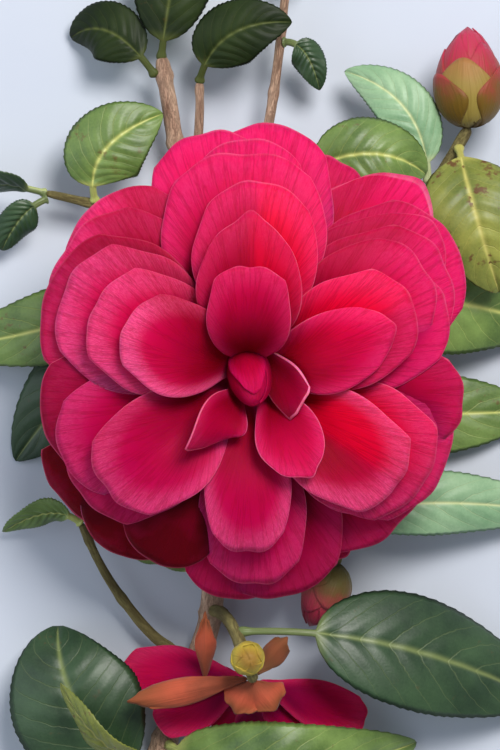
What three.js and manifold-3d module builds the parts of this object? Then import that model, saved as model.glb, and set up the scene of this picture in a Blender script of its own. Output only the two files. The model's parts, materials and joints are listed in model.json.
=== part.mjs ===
// A cut camellia branch that lies on a level surface, with one large formal-double bloom that
// faces up, a spent bloom, three buds, the twigs that carry them and 22 evergreen leaves.
// Millimetres, +Z up. The model is laid out round the middle of the large bloom, and the whole
// group is then moved so that the origin is under the middle of its box, on the surface it lies on.

import * as THREE from 'three';
import { mergeVertices } from 'three/addons/utils/BufferGeometryUtils.js';
import Module from 'manifold-3d';

const wasm = await Module();
wasm.setup();

// Driving dimensions, in millimetres and degrees.
const SEAT_GAP = 0.3; // clearance between a piece and what carries it
const BLOOM_CENTRE = [-1, -1, 32]; // where the petals of the large bloom leave the receptacle
const BLOOM_LEAN = 9; // how far the bloom's axis leans towards -Y
const REACH_INNER = 28; // reach of the innermost full petals
const REACH_OUTER = 60; // reach of the outermost petals
const DOME_HEIGHT = 30; // height of the bloom's dome above the outermost tips
const DOME_FLAT = 20; // radius inside which the dome is flat
const PETAL_THICKNESS = 1.3;
const PETAL_CELLS = 4; // cells across and along a petal
const LEAF_THICKNESS = 1.1;
const LEAF_CELLS_ACROSS = 4;
const LEAF_CELLS_ALONG = 10;
const PETIOLE_HALF_WIDTH = 0.95;
const PETIOLE_LENGTH = 6;
const CALYX_LENGTH = 7;
const CALYX_RADIUS = 9;
const STEM_CUT_RADIUS = 3.3;
const STEM_TIP_RADIUS = 1.9;

// Finishes, as the photograph shows them.
const finish = (colour, roughness) =>
  new THREE.MeshStandardMaterial({ color: colour, roughness, metalness: 0, flatShading: true });
const CRIMSON = 0xb8123f;
const MAGENTA = 0xa01848;
const LEAF_GREEN = 0x3f6b35;
const LEAF_DARK = 0x1f3f2c;
const LEAF_PALE = 0x8fb08a;
const LEAF_YELLOW = 0x9a9a3a;
const BARK = 0x8a6a55;
const BARK_GREEN = 0x6f7040;
const DRY_SCALE = 0xb5623f;
const BUD_GREEN = 0xa8ac50;

// Small helpers.
const radians = THREE.MathUtils.degToRad;
const vector = (place) => new THREE.Vector3(...place);
const blend = (from, to, share) => from + (to - from) * share;
const clamp01 = (value) => Math.min(1, Math.max(0, value));
const smooth = (value) => clamp01(value) ** 2 * (3 - 2 * clamp01(value));

// Moves every vertex of a box, cylinder or lathe to where a rule puts it.
function reshape(geometry, rule) {
  const position = geometry.attributes.position;
  const place = new THREE.Vector3();
  for (let i = 0; i < position.count; i += 1) {
    place.fromBufferAttribute(position, i);
    position.setXYZ(i, ...rule(place.x, place.y, place.z).toArray());
  }
  return closed(geometry);
}

// A closed mesh needs its shared vertices merged, so the normals and uvs go first.
function closed(geometry) {
  geometry.deleteAttribute('normal');
  geometry.deleteAttribute('uv');
  const merged = mergeVertices(geometry, 1e-4);
  merged.computeVertexNormals();
  return merged;
}

function solidOf(geometry) {
  const vertProperties = new Float32Array(geometry.attributes.position.array);
  const triVerts = new Uint32Array(geometry.index.array);
  return new wasm.Manifold(new wasm.Mesh({ numProp: 3, vertProperties, triVerts }));
}

function geometryOf(solid) {
  const mesh = solid.getMesh();
  const geometry = new THREE.BufferGeometry();
  geometry.setAttribute('position', new THREE.BufferAttribute(mesh.vertProperties, 3));
  geometry.setIndex(new THREE.BufferAttribute(mesh.triVerts, 1));
  geometry.computeVertexNormals();
  return geometry;
}

// Joins closed meshes into one body. A hollow that this seals is a part of its own inside the
// outer skin, so keeping the largest part fills it.
function fuse(geometries) {
  const whole = geometries.map(solidOf).reduce((joined, piece) => joined.add(piece));
  const largest = (a, b) => (b.volume() > a.volume() ? b : a);
  return geometryOf(whole.decompose().reduce(largest));
}

// Petals. A petal's midrib is an arc from its foot on the receptacle, past a knee, to its tip.
// The lower a petal sits in the bloom, the further it reaches and the lower its tip lies, so the
// tips together make a dome.
function petal(direction, reach, width, changes = {}) {
  const level = (reach - REACH_INNER) / (REACH_OUTER - REACH_INNER);
  return {
    direction,
    reach,
    width,
    footRadius: blend(2, 6, level),
    footHeight: blend(7, 0, level),
    kneeRadius: reach * blend(0.36, 0.5, level),
    kneeHeight: DOME_HEIGHT + 3 - 11 * level * level,
    tipHeight: DOME_HEIGHT * (1 - ((reach - DOME_FLAT) / (REACH_OUTER - DOME_FLAT)) ** 2),
    cupFoot: blend(0.45, 0.15, level),
    cupTip: blend(-0.1, -0.2, level),
    ...changes,
  };
}

// A point of the arc that three values shape, and how steeply it runs there.
const arc = (foot, knee, tip, t) => (1 - t) ** 2 * foot + 2 * t * (1 - t) * knee + t * t * tip;
const slope = (foot, knee, tip, t) => (1 - t) * (knee - foot) + t * (tip - knee);

// across and along run from -1 to 1 over a square, which becomes the rounded petal.
function petalPoint(p, across, along, depth) {
  const x = across * Math.sqrt(1 - (along * along) / 2);
  const t = (along * Math.sqrt(1 - (across * across) / 2) + 1) / 2;
  const taper = 0.38 + 0.62 * smooth(t * 1.45);
  const side = x * taper * (p.width / 2);
  const cup = blend(p.cupFoot, p.cupTip, smooth(t * 1.25 - 0.1));
  const lift = cup * (x * taper) ** 2 * (p.width / 2) + depth;
  const run = slope(p.footRadius, p.kneeRadius, p.reach, t);
  const rise = slope(p.footHeight, p.kneeHeight, p.tipHeight, t);
  const steepness = Math.hypot(run, rise);
  const out = arc(p.footRadius, p.kneeRadius, p.reach, t) - (rise / steepness) * lift;
  const up = arc(p.footHeight, p.kneeHeight, p.tipHeight, t) + (run / steepness) * lift;
  const turn = radians(p.direction);
  return new THREE.Vector3(
    out * Math.cos(turn) + side * Math.sin(turn),
    out * Math.sin(turn) - side * Math.cos(turn),
    up,
  );
}

const petalSolid = (p, thickness = PETAL_THICKNESS) =>
  reshape(new THREE.BoxGeometry(2, 2, 2, PETAL_CELLS, PETAL_CELLS, 1), (x, y, z) =>
    petalPoint(p, x, y, (z * thickness) / 2),
  );

// The petals of the large bloom, column by column: direction, reach and width of each.
const BLOOM_COLUMNS = [
  [
    [89, 28.4, 20.6], [89, 38.2, 26], [86.5, 46.8, 31], [91.5, 53, 41], [90, 55.9, 32],
    [100.5, 58.2, 33], [84.5, 59.3, 35, { kneeHeight: 23.5 }], [66, 55, 26, { kneeHeight: 19, tipHeight: 2 }],
  ],
  [
    [19, 36, 20], [26, 43, 28], [31, 49.4, 32], [20, 50.4, 30], [30, 54.2, 38],
    [37, 57, 36], [33, 58.4, 40], [47, 60.4, 40, { kneeHeight: 24 }],
  ],
  [[-35, 43.8, 27], [-32, 50, 34], [-29, 53.2, 38], [-9, 52.5, 28], [-47, 53.6, 38]],
  [[-90, 41.8, 21.6], [-88, 51.7, 27], [-94, 57.2, 30], [-81, 57, 36], [-65, 53, 16]],
  [
    [-142, 42.8, 28], [-156, 48.6, 32], [-145, 49.7, 32], [-166, 50.6, 36], [-117, 51.5, 28],
    [-147, 55.4, 25], [-129, 56, 30],
  ],
  [
    [152.5, 32, 24], [153, 40.4, 30], [153.5, 48.4, 36], [156, 52, 42],
    [144, 53, 40, { kneeHeight: 23.5 }], [134, 54.5, 38, { kneeHeight: 21.5 }],
  ],
];

// The irregular petals that stand round the closed heart.
const around = { cupFoot: 0.5, cupTip: 0.3, footRadius: 5, footHeight: 8 };
const HEART_PETALS = [
  petal(-14, 17, 15, { ...around, kneeRadius: 12, kneeHeight: 28, tipHeight: 24 }),
  petal(-130, 22, 16, { ...around, kneeRadius: 8, kneeHeight: 24, tipHeight: 25 }),
  petal(-66, 27, 19, { ...around, kneeRadius: 12, kneeHeight: 28, tipHeight: 23 }),
];

// A turned body whose profile runs from the axis to the axis, standing along +Z.
function turned(profile, sides) {
  const points = profile.map(([radius, height]) => new THREE.Vector2(radius, height));
  const geometry = new THREE.LatheGeometry(points, sides);
  geometry.rotateX(Math.PI / 2);
  return closed(geometry);
}

// The mass of packed petals inside the bloom, with the hollow round its heart.
const BLOOM_CORE = [
  [0, -3], [9, -3], [14, 2], [22, 7.5], [32, 9.8], [44, 7.5], [49, 5],
  [44, 11.5], [36, 17.5], [27, 22.5], [18, 21], [10, 15], [6, 9.5], [0, 8.5],
];
const HEART = [[0, 6], [3.6, 9], [5.2, 14], [4.6, 19], [2.4, 23], [0, 24.2]];

function bloomGeometry() {
  const petals = [...BLOOM_COLUMNS.flat().map((row) => petal(...row)), ...HEART_PETALS];
  return fuse([turned(BLOOM_CORE, 20), turned(HEART, 9), ...petals.map((p) => petalSolid(p))]);
}

// Stems and twigs. Each is one tapering limb along a smooth curve through a few points.
class Limb {
  constructor(points, footRadius, tipRadius) {
    this.curve = new THREE.CatmullRomCurve3(points.map(vector), false, 'centripetal');
    this.footRadius = footRadius;
    this.tipRadius = tipRadius;
  }

  radius(t) {
    return blend(this.footRadius, this.tipRadius, t);
  }

  point(t) {
    return this.curve.getPointAt(clamp01(t));
  }

  tangent(t) {
    return this.curve.getTangentAt(clamp01(t));
  }

  // How far along the limb the point nearest to a given place is.
  nearest(place) {
    const steps = Array.from({ length: 201 }, (_, i) => i / 200);
    const distance = (t) => this.point(t).distanceTo(place);
    return steps.reduce((best, t) => (distance(t) < distance(best) ? t : best));
  }

  // Where a piece that grows towards a place starts, just clear of this limb's bark.
  seat(from, towards, footRadius) {
    const t = this.nearest(vector(from));
    const heading = vector(towards).sub(this.point(t)).normalize();
    const slope = Math.abs(heading.dot(this.tangent(t)));
    const sine = Math.sqrt(1 - slope * slope);
    const reach = (this.radius(t) + SEAT_GAP + footRadius * slope) / sine;
    return this.point(t).addScaledVector(heading, reach);
  }

  // Where a piece that carries the limb on towards a place starts, just clear of its end.
  end(towards, footRadius) {
    const heading = vector(towards).sub(this.point(1)).normalize();
    const sine = heading.cross(this.tangent(1)).length();
    return this.point(1).addScaledVector(this.tangent(1), SEAT_GAP + footRadius * sine);
  }

  geometry(sides, steps) {
    const shape = new THREE.CylinderGeometry(1, 1, 1, sides, steps);
    return reshape(shape, (x, y, z) => {
      const t = y + 0.5;
      const along = this.tangent(t);
      const level = new THREE.Vector3(along.y, -along.x, 0).normalize();
      const up = new THREE.Vector3().crossVectors(level, along);
      const radius = this.radius(t);
      return this.point(t)
        .addScaledVector(level, x * radius)
        .addScaledVector(up, z * radius);
    });
  }
}

const MAIN_STEM = new Limb(
  [
    [-31, -119, 3.3], [-24, -100, 3.6], [-17, -83, 4], [-10.5, -64, 4.6], [-10, -48, 5],
    [-12.5, -30, 5.5], [-14, -10, 6], [-15, 12, 6.5], [-16.5, 34, 7.5], [-19, 54, 9], [-22.6, 76.5, 11.8],
  ],
  STEM_CUT_RADIUS,
  STEM_TIP_RADIUS,
);

// A twig starts on the stem that bears it and goes on through its own points.
function twig(bearer, from, points, footRadius, tipRadius) {
  const start = bearer.seat(from, points[0], footRadius);
  return new Limb([start.toArray(), ...points], footRadius, tipRadius);
}

const bloomAxis = new THREE.Vector3(0, -Math.sin(radians(BLOOM_LEAN)), Math.cos(radians(BLOOM_LEAN)));
const alongBloom = (height) => vector(BLOOM_CENTRE).addScaledVector(bloomAxis, height);
const CALYX_TOP = -3 - SEAT_GAP;
const CALYX_FOOT = CALYX_TOP - CALYX_LENGTH;

const FLOWER_SHOOT = twig(
  MAIN_STEM,
  [-10.2, -50, 5],
  [
    [-8, -41, 10],
    [-5, -22, 12.5],
    [-2.2, -5.5, 14],
    alongBloom(CALYX_FOOT - 4).toArray(),
    alongBloom(CALYX_FOOT - SEAT_GAP).toArray(),
  ],
  2.1,
  1.9,
);
const BUD_TWIG = twig(
  MAIN_STEM,
  [-12.6, -29, 5.5],
  [[-3, -20, 6], [12, -1, 6.8], [28, 20, 8.5], [44, 42, 12], [53.8, 57.5, 15]],
  1.8,
  1.5,
);
const TOP_RIGHT_TWIG = twig(
  MAIN_STEM,
  [-14.2, -6, 6],
  [[-7, 8, 6.8], [0, 38, 8.5], [5.8, 70, 11], [8.5, 93, 12.3]],
  1.6,
  1.1,
);
const RIGHT_TWIG = twig(
  FLOWER_SHOOT,
  [-6, -27, 12.8],
  [[4, -30.5, 13], [15, -36, 12.5], [20.5, -43.5, 11.5], [21.6, -50, 10.5]],
  1.4,
  1.1,
);
const LEFT_TWIG = twig(
  MAIN_STEM,
  [-16.5, 34, 7.5],
  [[-28, 37, 8.5], [-41, 40, 10], [-52, 42.5, 10.6]],
  1.4,
  1,
);
const SIDE_SHOOT = twig(
  MAIN_STEM,
  [-14.2, -76, 4.2],
  [[-25, -68.5, 6], [-35.5, -55, 8], [-43, -40, 10]],
  1.5,
  1,
);
const TOP_TWIG = twig(
  MAIN_STEM,
  [-17.6, 44, 8.2],
  [[-13.8, 54, 10], [-13, 70.5, 12.3]],
  1.3,
  1,
);

const SPENT_CENTRE = [0, -78, 22.5];
const SPENT_LEAN = 168; // faces down, leaning towards -Y
const spentAxis = new THREE.Vector3(0, -Math.sin(radians(SPENT_LEAN)), Math.cos(radians(SPENT_LEAN)));
const SPENT_BACK = -6;
const SPENT_STALK = twig(
  MAIN_STEM,
  [-10.4, -62, 4.7],
  [
    [-7.5, -62.5, 13],
    [-4.5, -65.5, 24],
    [-1.5, -72, 30],
    vector(SPENT_CENTRE).addScaledVector(spentAxis, SPENT_BACK - 3).toArray(),
    vector(SPENT_CENTRE).addScaledVector(spentAxis, SPENT_BACK - SEAT_GAP).toArray(),
  ],
  1.6,
  1.4,
);

// Leaves. The midrib is an arc from the foot past a high point to the tip. The blade folds up
// along it, its edges curl, and the foot is a short stalk.
function leafRule({ foot, rise, tip, width, roll = 0, fold = 0.12, curl = 0.25, share }, thickness) {
  const start = foot.isVector3 ? foot : vector(foot);
  const midrib = new THREE.QuadraticBezierCurve3(start, vector(rise), vector(tip));
  const stalk = share ?? PETIOLE_LENGTH / midrib.getLength();
  const turn = radians(roll);
  return (x, y, z) => {
    const t = (y + 1) / 2;
    const blade = clamp01((t - stalk * 0.7) / (1 - stalk * 0.7));
    const outline = 2.42 * blade ** 0.55 * (1 - blade) ** 0.75;
    const half = Math.max(outline * (width / 2), PETIOLE_HALF_WIDTH * (1 - smooth(t * 2 - 0.9)));
    const side = x * half;
    const lift = fold * Math.abs(side) - (curl * side * side) / (width / 2);
    const thick = blend(1.6, thickness, smooth(t / stalk - 0.4));
    const along = midrib.getTangent(t);
    const level = new THREE.Vector3(along.y, -along.x, 0).normalize();
    const up = new THREE.Vector3().crossVectors(level, along);
    const across = level.clone().multiplyScalar(Math.cos(turn)).addScaledVector(up, Math.sin(turn));
    const normal = new THREE.Vector3().crossVectors(across, along);
    return midrib
      .getPoint(t)
      .addScaledVector(across, side)
      .addScaledVector(normal, lift + (z * thick) / 2);
  };
}

function leafGeometry(leaf, thickness = LEAF_THICKNESS) {
  const box = new THREE.BoxGeometry(2, 2, 2, LEAF_CELLS_ACROSS, LEAF_CELLS_ALONG, 1);
  return reshape(box, leafRule(leaf, thickness));
}

// Each leaf: the limb that bears it and where, the high point of its arc, its tip, its width and
// how far it is turned about its midrib. The last number, on two leaves, is how much of the midrib
// is bare stalk, where the usual stalk is too short.
const LEAF_ROWS = [
  ['leaf_upper_right', TOP_RIGHT_TWIG, [0.3, 40, 8.6], [27, 58, 36], [43.3, 46.4, 18], 19, 8, LEAF_GREEN, 0.4],
  ['leaf_crown_left', MAIN_STEM, [-20.6, 68, 10.5], [-36, 88, 18], [-46, 82, 2], 15, 0, LEAF_DARK],
  ['leaf_upper_left', LEFT_TWIG, [-39, 39.5, 9.7], [-42, 54, 22], [-22, 62, 14], 20, 0, LEAF_GREEN],
  ['leaf_left_curled', LEFT_TWIG, [-49, 42, 10.5], [-58, 38, 14], [-63, 28, 6], 9, 20, LEAF_DARK],
  ['leaf_left_spotted', MAIN_STEM, [-16, 22, 7], [-46, 7, 28], [-77, 4, 1], 19, 0, LEAF_GREEN],
  ['leaf_left_dark', MAIN_STEM, [-15, 8, 6.4], [-40, 4, 13], [-60, -25, 1], 26, 0, LEAF_DARK],
  ['leaf_right_spotted', BUD_TWIG, [24, 15, 8], [48, 18, 26], [74, 9, 1], 26, 0, LEAF_GREEN],
  ['leaf_right_under', BUD_TWIG, [4, -11, 6.4], [40, -14, 13], [73, -12, 1], 22, 0, LEAF_GREEN],
  ['leaf_under_bud', BUD_TWIG, [51.5, 54, 14.5], [52.5, 39, 38], [61, 17, 21], 25, 0, LEAF_YELLOW],
  ['leaf_pale', BUD_TWIG, [44, 42, 12], [43, 66, 22], [23, 73, 10], 14, 0, LEAF_PALE],
  ['leaf_small_dark', TOP_RIGHT_TWIG, [7, 80, 11.6], [14, 80, 16], [17, 68, 10], 8, 0, LEAF_DARK],
  ['leaf_lower_right', SPENT_STALK, [-3, -68, 23], [36, -64, 31], [74, -86, 1], 29, 20, LEAF_GREEN, 0.33],
  ['leaf_bottom', MAIN_STEM, [-22, -96, 3.7], [4, -102.5, 57], [42, -96, 2], 23, 0, LEAF_GREEN],
  ['leaf_lower_left', MAIN_STEM, [-28, -110, 3.4], [-48.5, -83.1, 26], [-48.8, -66, 6], 33, 0, LEAF_DARK],
  ['leaf_folded', MAIN_STEM, [-24.5, -101, 3.6], [-37, -96, 38], [-47.6, -79, 20], 10, 50, LEAF_YELLOW],
  ['leaf_middle', MAIN_STEM, [-10.2, -56, 4.8], [-22, -46, 17], [-33, -47, 9], 9, 40, LEAF_GREEN],
  ['leaf_right_low', RIGHT_TWIG, [17, -38, 12.2], [45, -32, 22], [77, -38, 1], 16, 0, LEAF_PALE],
];

const END_LEAF_ROWS = [
  ['leaf_crown_top', MAIN_STEM, [-19.5, 99, 23], [-14, 122, 1.5], 20, 0, LEAF_DARK],
  ['leaf_crown_right', TOP_TWIG, [-9, 84.5, 24], [10, 84, 20], 16, 0, LEAF_DARK],
  ['leaf_left_edge', LEFT_TWIG, [-66, 46, 16], [-80, 46, 8], 14, 70, LEAF_DARK],
  ['leaf_left_low', SIDE_SHOOT, [-50, -34, 14], [-63, -43, 4], 8, 40, LEAF_GREEN],
  ['leaf_twig_end', TOP_RIGHT_TWIG, [13, 106, 20], [10, 121, 1], 12, 0, LEAF_PALE],
];

// Buds. A bud is an egg wrapped in scales that follow its surface.
const eggRadius = (bud, height) =>
  bud.radius * Math.sin(Math.PI * clamp01(height) ** bud.shoulder) ** 0.62 + 0.02;

function budPoint(bud, turn, height, depth) {
  const radius = eggRadius(bud, height) + depth;
  const axis = vector(bud.tip).sub(vector(bud.foot));
  const along = axis.clone().normalize();
  const level = new THREE.Vector3(along.y, -along.x, 0).normalize();
  const up = new THREE.Vector3().crossVectors(level, along);
  return vector(bud.foot)
    .addScaledVector(axis, height)
    .addScaledVector(level, radius * Math.cos(turn))
    .addScaledVector(up, radius * Math.sin(turn));
}

function budEgg(bud) {
  const heights = [0.001, 0.08, 0.22, 0.4, 0.6, 0.78, 0.92, 0.999];
  const profile = heights.map((height) => new THREE.Vector2(eggRadius(bud, height), height));
  const points = [new THREE.Vector2(0, 0), ...profile, new THREE.Vector2(0, 1)];
  return reshape(new THREE.LatheGeometry(points, bud.sides), (x, y, z) =>
    budPoint(bud, Math.atan2(z, x), y, Math.hypot(x, z) - eggRadius(bud, y)),
  );
}

function budScale(bud, turn, cover, halfAngle) {
  return reshape(new THREE.BoxGeometry(2, 2, 2, 3, 3, 1), (x, y, z) => {
    const across = x * Math.sqrt(1 - (y * y) / 2);
    const along = (y * Math.sqrt(1 - (x * x) / 2) + 1) / 2;
    return budPoint(bud, turn - across * halfAngle, 0.03 + along * cover, z > 0 ? 0.7 : -1.4);
  });
}

function budGeometry(bud) {
  const scales = Array.from({ length: bud.scales }, (_, i) =>
    budScale(bud, i * radians(137.5), blend(0.5, 0.8, i / bud.scales), radians(58)),
  );
  return fuse([budEgg(bud), ...scales]);
}

const BUDS = {
  bud_large: {
    foot: [54.2, 58.4, 15.2], tip: [53.4, 83, 17.5], radius: 8.2, shoulder: 0.72, sides: 12, scales: 5,
  },
  bud_red: {
    foot: [21.8, -50.5, 10.3], tip: [14.5, -66, 8.5], radius: 5.6, shoulder: 0.8, sides: 10, scales: 4,
  },
  bud_green: {
    foot: [-1.4, -71.8, 32.3], tip: [-0.6, -71.4, 39.6], radius: 3.9, shoulder: 0.8, sides: 8, scales: 3,
  },
};

// The calyx: a cup of small scales under the large bloom.
function calyxGeometry() {
  const profile = [
    [0, CALYX_FOOT], [2.3, CALYX_FOOT], [4.6, CALYX_FOOT + 1.6],
    [7.6, CALYX_TOP - 2], [CALYX_RADIUS, CALYX_TOP], [0, CALYX_TOP],
  ];
  return turned(profile, 12);
}

// The spent bloom: a few petals left on its receptacle, and its dry scales turned back.
const spentPetal = (direction, reach, width, kneeHeight, tipHeight) =>
  petal(direction, reach, width, {
    footRadius: 2, footHeight: 0, kneeRadius: reach * 0.5, kneeHeight, tipHeight, cupFoot: 0.3, cupTip: 0,
  });
const SPENT_PETALS = [
  spentPetal(186, 33, 16, 13, 14),
  spentPetal(160, 26, 14, 13, 14),
  spentPetal(108, 16, 15, 12, 15),
  spentPetal(73, 16, 15, 12, 15),
  spentPetal(40, 20, 13, 13, 14),
  spentPetal(17, 30, 13, 13, 14),
];
const SPENT_RECEPTACLE = [[0, SPENT_BACK], [2.4, SPENT_BACK], [5, -2.5], [5.5, 0], [3.5, 3], [0, 4]];
const dryScale = (direction, reach, width, tipHeight) =>
  petal(direction, reach, width, {
    footRadius: 2, footHeight: -3, kneeRadius: reach * 0.5, kneeHeight: -4, tipHeight, cupFoot: 0.3, cupTip: 0,
  });
const DRY_SCALES = [
  dryScale(170, 29, 7, 0),
  dryScale(115, 9, 12, -2),
  dryScale(60, 9, 12, -2),
  dryScale(312, 12, 6, -6),
];

function spentGeometry() {
  const pieces = [...SPENT_PETALS, ...DRY_SCALES].map((p) => petalSolid(p, 1.1));
  return fuse([turned(SPENT_RECEPTACLE, 10), ...pieces]);
}

// The whole branch.
const branch = new THREE.Group();
branch.name = 'camellia_branch';

function add(name, geometry, colour, roughness, bearer = branch) {
  const mesh = new THREE.Mesh(geometry, finish(colour, roughness));
  mesh.name = name;
  bearer.add(mesh);
  return mesh;
}

function addBlooms() {
  const bloom = new THREE.Group();
  bloom.position.set(...BLOOM_CENTRE);
  bloom.rotation.x = radians(BLOOM_LEAN);
  add('bloom', bloomGeometry(), CRIMSON, 0.5, bloom);
  add('calyx', calyxGeometry(), BUD_GREEN, 0.6, bloom);
  const spent = new THREE.Group();
  spent.position.set(...SPENT_CENTRE);
  spent.rotation.x = radians(SPENT_LEAN);
  add('bloom_spent', spentGeometry(), MAGENTA, 0.6, spent);
  branch.add(bloom, spent);
}

function addStems() {
  add('stem_main', MAIN_STEM.geometry(10, 26), BARK, 0.8);
  add('stem_flower_shoot', FLOWER_SHOOT.geometry(8, 12), BARK_GREEN, 0.7);
  add('stem_bud_twig', BUD_TWIG.geometry(8, 12), BARK_GREEN, 0.7);
  add('stem_top_right_twig', TOP_RIGHT_TWIG.geometry(8, 12), BARK, 0.7);
  add('stem_right_twig', RIGHT_TWIG.geometry(8, 8), BARK_GREEN, 0.7);
  add('stem_left_twig', LEFT_TWIG.geometry(8, 6), BARK_GREEN, 0.7);
  add('stem_side_shoot', SIDE_SHOOT.geometry(8, 8), BARK_GREEN, 0.7);
  add('stem_top_twig', TOP_TWIG.geometry(8, 6), BARK, 0.7);
  add('stem_spent_stalk', SPENT_STALK.geometry(8, 8), DRY_SCALE, 0.8);
}

function addLeaves() {
  for (const [name, limb, from, rise, tip, width, roll, colour, share] of LEAF_ROWS) {
    const foot = limb.seat(from, rise, PETIOLE_HALF_WIDTH);
    add(name, leafGeometry({ foot, rise, tip, width, roll, share }), colour, 0.4);
  }
  for (const [name, limb, rise, tip, width, roll, colour] of END_LEAF_ROWS) {
    const foot = limb.end(rise, PETIOLE_HALF_WIDTH);
    add(name, leafGeometry({ foot, rise, tip, width, roll }), colour, 0.4);
  }
}

function addBuds() {
  add('bud_large', budGeometry(BUDS.bud_large), CRIMSON, 0.5);
  add('bud_red', budGeometry(BUDS.bud_red), MAGENTA, 0.5);
  add('bud_green', budGeometry(BUDS.bud_green), BUD_GREEN, 0.5);
}

addBlooms();
addStems();
addLeaves();
addBuds();

// The origin goes under the middle of the whole branch's box, on the surface that it lies on.
const box = new THREE.Box3().setFromObject(branch, true);
const middle = box.getCenter(new THREE.Vector3());
branch.position.set(-middle.x, -middle.y, -box.min.z);

export default branch;
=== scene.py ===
# %% [markdown]
# # A cut camellia branch
# The branch lies on a plain pale floor with its large formal-double bloom facing up. The packed
# model gives every piece its place. This notebook dresses that model: petals, leaves, buds and
# bark grow from short rules in Geometry Nodes, and each finish is built from procedural nodes.

import json
import math

import bpy
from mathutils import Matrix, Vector


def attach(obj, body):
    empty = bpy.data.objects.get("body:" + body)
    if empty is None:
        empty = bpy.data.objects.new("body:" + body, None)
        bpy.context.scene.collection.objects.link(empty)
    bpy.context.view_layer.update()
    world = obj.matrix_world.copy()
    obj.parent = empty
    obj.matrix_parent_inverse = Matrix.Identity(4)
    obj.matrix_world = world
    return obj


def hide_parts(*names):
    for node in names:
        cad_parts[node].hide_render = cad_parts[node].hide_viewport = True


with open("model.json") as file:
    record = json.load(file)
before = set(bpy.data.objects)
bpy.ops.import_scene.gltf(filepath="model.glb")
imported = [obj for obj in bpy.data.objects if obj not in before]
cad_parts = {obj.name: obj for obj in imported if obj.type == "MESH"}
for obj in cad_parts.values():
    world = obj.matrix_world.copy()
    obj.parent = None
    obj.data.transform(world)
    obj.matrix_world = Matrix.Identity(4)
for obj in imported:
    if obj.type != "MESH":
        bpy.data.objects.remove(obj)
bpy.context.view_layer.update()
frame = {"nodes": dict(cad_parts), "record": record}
print("nodes in the model:", len(frame["nodes"]))

# %% [markdown]
# The branch is laid out in millimetres round the middle of the bloom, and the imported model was
# then moved so that its origin is under its own middle. One known point, the cut end of the main
# stem, gives the same move here.

# %% Find the move from the layout to the frame
MM = 0.001
CUT_END = Vector((-31.0, -119.0, 3.3))
mounts = {mount["name"]: mount for mount in frame["record"]["mounts"]}
SHIFT = Vector(mounts["cut_end"]["pos_m"]) / MM - CUT_END
print("move from layout to frame, mm:", [round(v, 3) for v in SHIFT])


def place(point):
    """A layout point in mm as a point of the frame in metres."""
    return (Vector(point) + SHIFT) * MM


# %% [markdown]
# ## Arithmetic on sockets
# A rule such as a petal's arc takes dozens of Math nodes. Wiring them by hand hides the rule, so
# a small class lets Python's own operators make the nodes. It works in Geometry Nodes and in
# materials alike, because both use the same Math node.


# %% A socket that Python can calculate with
class Field:
    def __init__(self, tree, socket):
        self.tree = tree
        self.socket = socket

    def math(self, operation, *others):
        node = self.tree.nodes.new("ShaderNodeMath")
        node.operation = operation
        for slot, value in enumerate((self, *others)):
            plug(self.tree, node.inputs[slot], value)
        return Field(self.tree, node.outputs[0])

    def __add__(self, other):
        return self.math("ADD", other)

    def __sub__(self, other):
        return self.math("SUBTRACT", other)

    def __mul__(self, other):
        return self.math("MULTIPLY", other)

    def __truediv__(self, other):
        return self.math("DIVIDE", other)

    def __pow__(self, other):
        return self.math("POWER", other)

    def __rsub__(self, other):
        return self * -1.0 + other

    __radd__ = __add__
    __rmul__ = __mul__


def plug(tree, socket, value):
    """Links a field or a socket, or sets a plain value."""
    if isinstance(value, Field):
        tree.links.new(value.socket, socket)
    elif isinstance(value, bpy.types.NodeSocket):
        tree.links.new(value, socket)
    else:
        socket.default_value = value


def add(tree, kind, settings=None, **attributes):
    """Adds a node, sets its attributes, then its inputs by name or number."""
    node = tree.nodes.new(kind)
    for name, value in attributes.items():
        setattr(node, name, value)
    for name, value in (settings or {}).items():
        plug(tree, node.inputs[name], value)
    return node


# %% Curves of a value
def sine(x):
    return x.math("SINE")


def cosine(x):
    return x.math("COSINE")


def root(x):
    return x.math("MAXIMUM", 0.0).math("SQRT")


def size_of(x):
    return x.math("ABSOLUTE")


def clamp(x):
    return x.math("MINIMUM", 1.0).math("MAXIMUM", 0.0)


def smooth(x):
    held = clamp(x)
    return held * held * (3.0 - 2.0 * held)


def bell(x, width):
    """1 where x is 0, falling to nothing over about twice the width."""
    scaled = x / width
    return (scaled * scaled * -1.0).math("EXPONENT")


def mix(start, end, share):
    return (end - start) * share + start


def cross(p, q):
    return (
        p[1] * q[2] - p[2] * q[1],
        p[2] * q[0] - p[0] * q[2],
        p[0] * q[1] - p[1] * q[0],
    )


def unit(p):
    length = root(p[0] * p[0] + p[1] * p[1] + p[2] * p[2])
    return tuple(axis / length for axis in p)


def blend(start, end, share):
    """The same mix for plain numbers."""
    return start + (end - start) * share


print("arithmetic is ready")

# %% [markdown]
# ## Growing a piece
# Every plant piece is made the same way: a Geometry Nodes tree with named inputs turns a plain
# grid into the piece, its result becomes a plain mesh, and the modifier goes. The tree keeps the
# grid's own coordinates as attributes, so that veins and rims can follow the surface later.


# %% Tree helpers
def new_tree(name, inputs):
    """A tree with a geometry input and output, and the named inputs of its rule."""
    tree = bpy.data.node_groups.new(name, "GeometryNodeTree")
    tree.interface.new_socket(name="Geometry", in_out="INPUT", socket_type="NodeSocketGeometry")
    tree.interface.new_socket(name="Geometry", in_out="OUTPUT", socket_type="NodeSocketGeometry")
    for label, (kind, value) in inputs.items():
        socket = tree.interface.new_socket(
            name=label, in_out="INPUT", socket_type="NodeSocket" + kind
        )
        if value is not None:
            socket.default_value = value
    return tree, add(tree, "NodeGroupInput"), add(tree, "NodeGroupOutput")


def given(source, label):
    """A named input of the tree, as a field."""
    return Field(source.id_data, source.outputs[label])


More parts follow.
